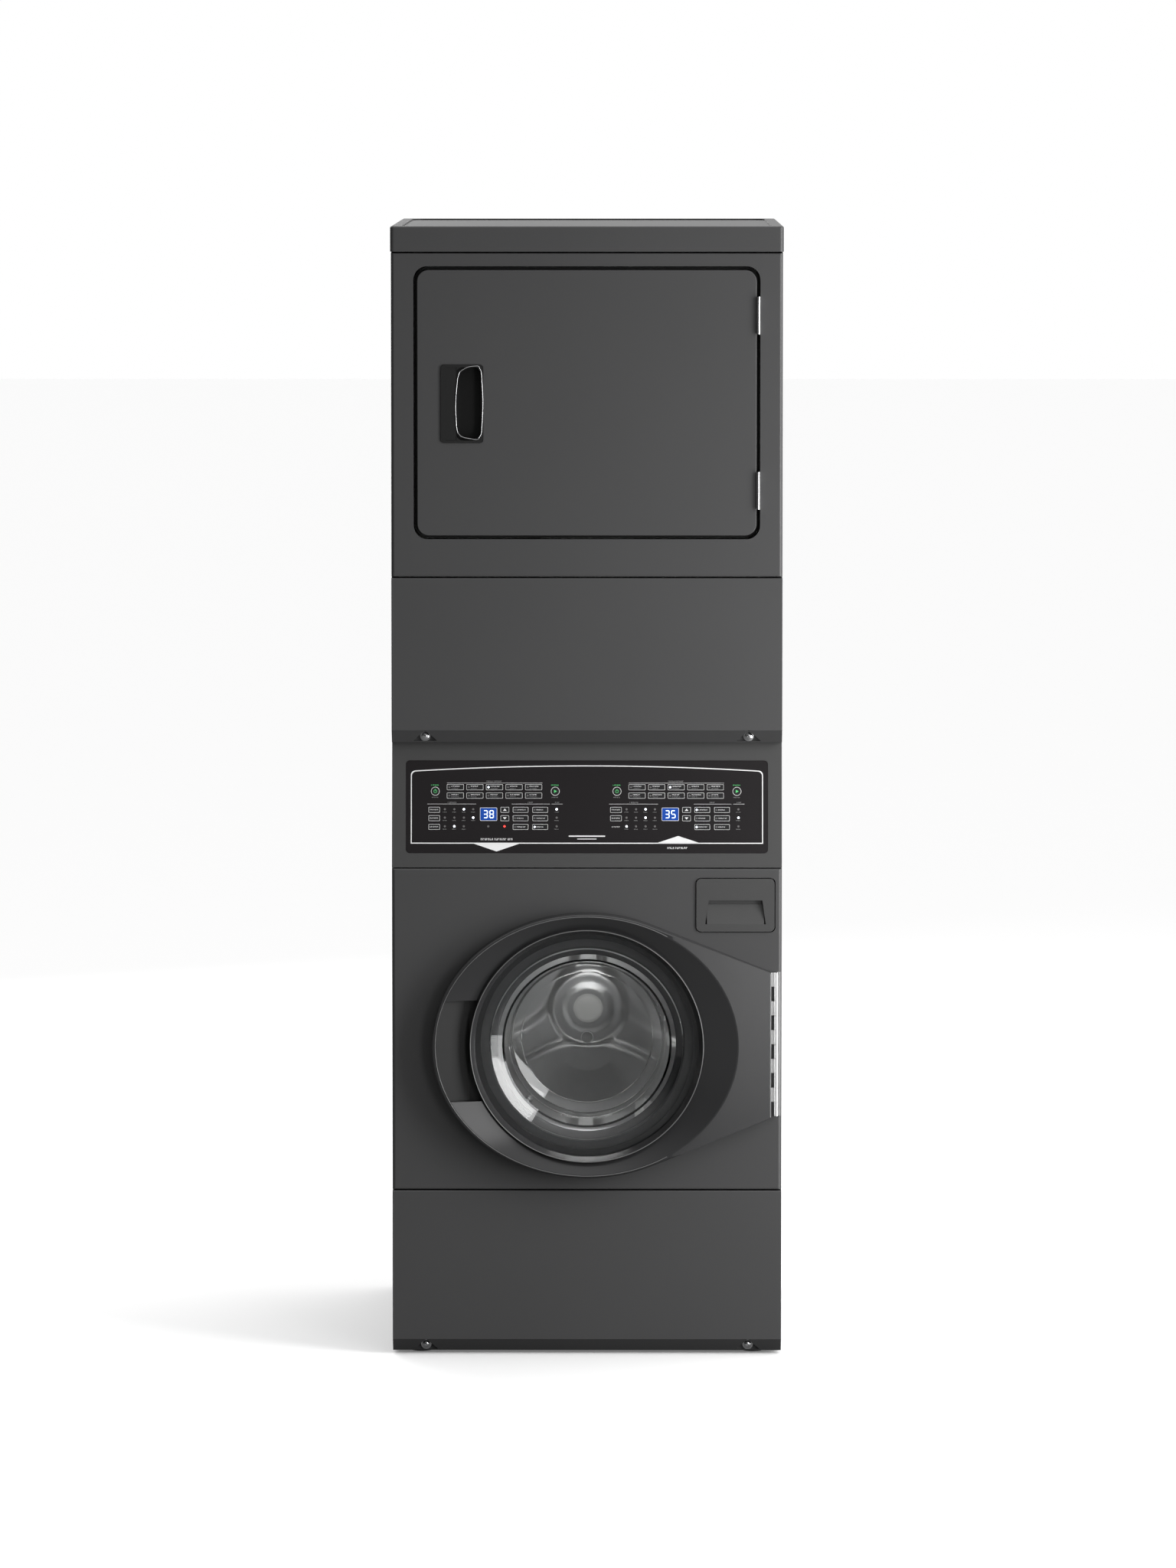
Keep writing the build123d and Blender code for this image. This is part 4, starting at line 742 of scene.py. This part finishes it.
def soften_corners(points, share=0.35, rounds=3):
    """Cut the corners of a closed run of points until it reads as a smooth curve."""
    for _ in range(rounds):
        cut = []
        for i, (u, v) in enumerate(points):
            nu, nv = points[(i + 1) % len(points)]
            low = share if _ == 0 else 0.25
            cut.append((u + (nu - u) * low * 0.5, v + (nv - v) * low * 0.5))
            cut.append((nu + (u - nu) * low * 0.5, nv + (v - nv) * low * 0.5))
        points = cut
    return points


def dryer_door_details():
    """The bright lip round the grip's mouth, and a black rubber seal behind the door's edge that also fills the
    gap round the door with painted shade.
    """
    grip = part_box("dryer_door_handle")
    mouth = [(-184.5, 1741.5), (-207.5, 1739.5), (-224.5, 1729.0), (-229.3, 1676.5), (-227.0, 1627.0),
             (-218.5, 1616.5), (-184.5, 1611.0), (-180.8, 1676.5)]
    lip = [(x * MM, grip[0].y + 0.0002, z * MM) for x, z in soften_corners(mouth)]
    tube_run("grip_lip", lip, 0.0008, "dryer_door", "bright_hardware")
    low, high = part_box("dryer_door_outer")
    cx, cz = (low.x + high.x) / 2 / MM, (low.z + high.z) / 2 / MM
    w, h = (high.x - low.x) / MM, (high.z - low.z) / MM
    verts, faces = [], []
    # black strip across the gap round the door: part seal, part painted shade in the gap
    outer = rounded_outline(cx, cz, w + 10.8, h + 10.8, 25)
    inner = rounded_outline(cx, cz, w + 0.4, h + 0.4, 20)
    add_frame(verts, faces, outer, inner, 0.0195, 0.0235, lambda u, v, lift: (u * MM, low.y + lift, v * MM))
    piece("door_seal_and_gap_shade", verts, faces, "dryer_door", MATERIALS["black_rubber"])


def washer_door_details():
    """Painted highlights on the door: thin beads, lighter than the door, round the glass ring and along the
    oval rim.
    """
    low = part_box("washer_door_frame")[0]
    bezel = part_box("washer_door_bezel")
    r = (bezel[1].x - bezel[0].x) / 2
    turns = [2 * math.pi * i / 180 for i in range(180)]
    edge = [(r * math.cos(t), bezel[0].y, DOOR_Z + r * math.sin(t)) for t in turns]
    tube_run("glass_ring_painted_highlight", edge, 0.0009, "washer_door", "door_edge")
    rim = []
    for i in range(181):
        turn = math.radians(58 + 244 * i / 180)
        rim.append((RIM_HALF_WIDTH * math.cos(turn), low.y + 0.0001,
                    DOOR_Z + RIM_HALF_HEIGHT * math.sin(turn)))
    tube_run("oval_rim_painted_highlight", rim, 0.0007, "washer_door", "door_edge", closed=False)


def front_screws():
    """Cross-head screws in the notches of the two access panels."""
    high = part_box("access_panel_screws")[1]
    heights = [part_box(panel)[0].z + PANEL_SCREW_RISE for panel in ("washer_lower_panel", "dryer_lower_panel")]
    places = [(side * PANEL_SCREW_X, z) for side in (-1, 1) for z in heights]
    heads = screw_heads("front_screw_heads", places, high.y - 0.0155, 0.0068, "cabinet", facing=-1)
    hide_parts("access_panel_screws")


def rear_details():
    """Screws round the back panels, beads on the vent collar and threads on the water inlets."""
    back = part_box("washer_cabinet")[1].y
    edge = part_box("washer_cabinet")[1].x - 0.022
    places = [(x, z) for x in (-edge, 0.0, edge) for z in (0.06, 0.42, 0.78, 1.04)]
    places += [(x, z) for x in (-edge, 0.0, edge) for z in (1.12, 1.50, 1.90)]
    screw_heads("back_screws", places, back, 0.0045, "cabinet", facing=1)
    cover_low, cover_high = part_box("terminal_cover")
    inset = 0.010
    screw_heads("terminal_screws", [(cover_low.x + inset, cover_high.z - inset),
                                    (cover_high.x - inset, cover_low.z + inset)],
                cover_high.y, 0.0038, "cabinet", facing=1)
    low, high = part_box("exhaust_duct")
    x, z, r = (low.x + high.x) / 2, (low.z + high.z) / 2, (high.x - low.x) / 2
    bead_y = high.y - 0.012
    bead = [(r - 0.0004, bead_y - 0.003), (r + 0.0012, bead_y - 0.0015), (r + 0.0016, bead_y),
            (r + 0.0012, bead_y + 0.0015), (r - 0.0004, bead_y + 0.003)]
    shape = turned("vent_bead", bead, 0.0, "cabinet", MATERIALS["inner_steel"])
    for vertex in shape.data.vertices:
        vertex.co.x += x
        vertex.co.z += z
    low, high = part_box("inlet_valves")
    for n, x in enumerate(INLET_X):
        profile = [(0.0128, high.y - 0.0215)]
        for turn in range(7):
            y = high.y - 0.020 + turn * 0.0026
            profile += [(0.0128, y), (0.0140, y + 0.0013)]
        profile += [(0.0128, high.y - 0.0010)]
        thread = turned(f"inlet_thread_{n}", profile, 0.0, "cabinet",
                        MATERIALS["brass_fitting"], 48)
        for vertex in thread.data.vertices:
            vertex.co.x += x
            vertex.co.z += INLET_Z


add_camera()
add_light()
add_floor()
dress_cad()
console_print()
wash_basket()
gasket()
springs()
front_screws()
dryer_door_details()
washer_door_details()
rear_details()
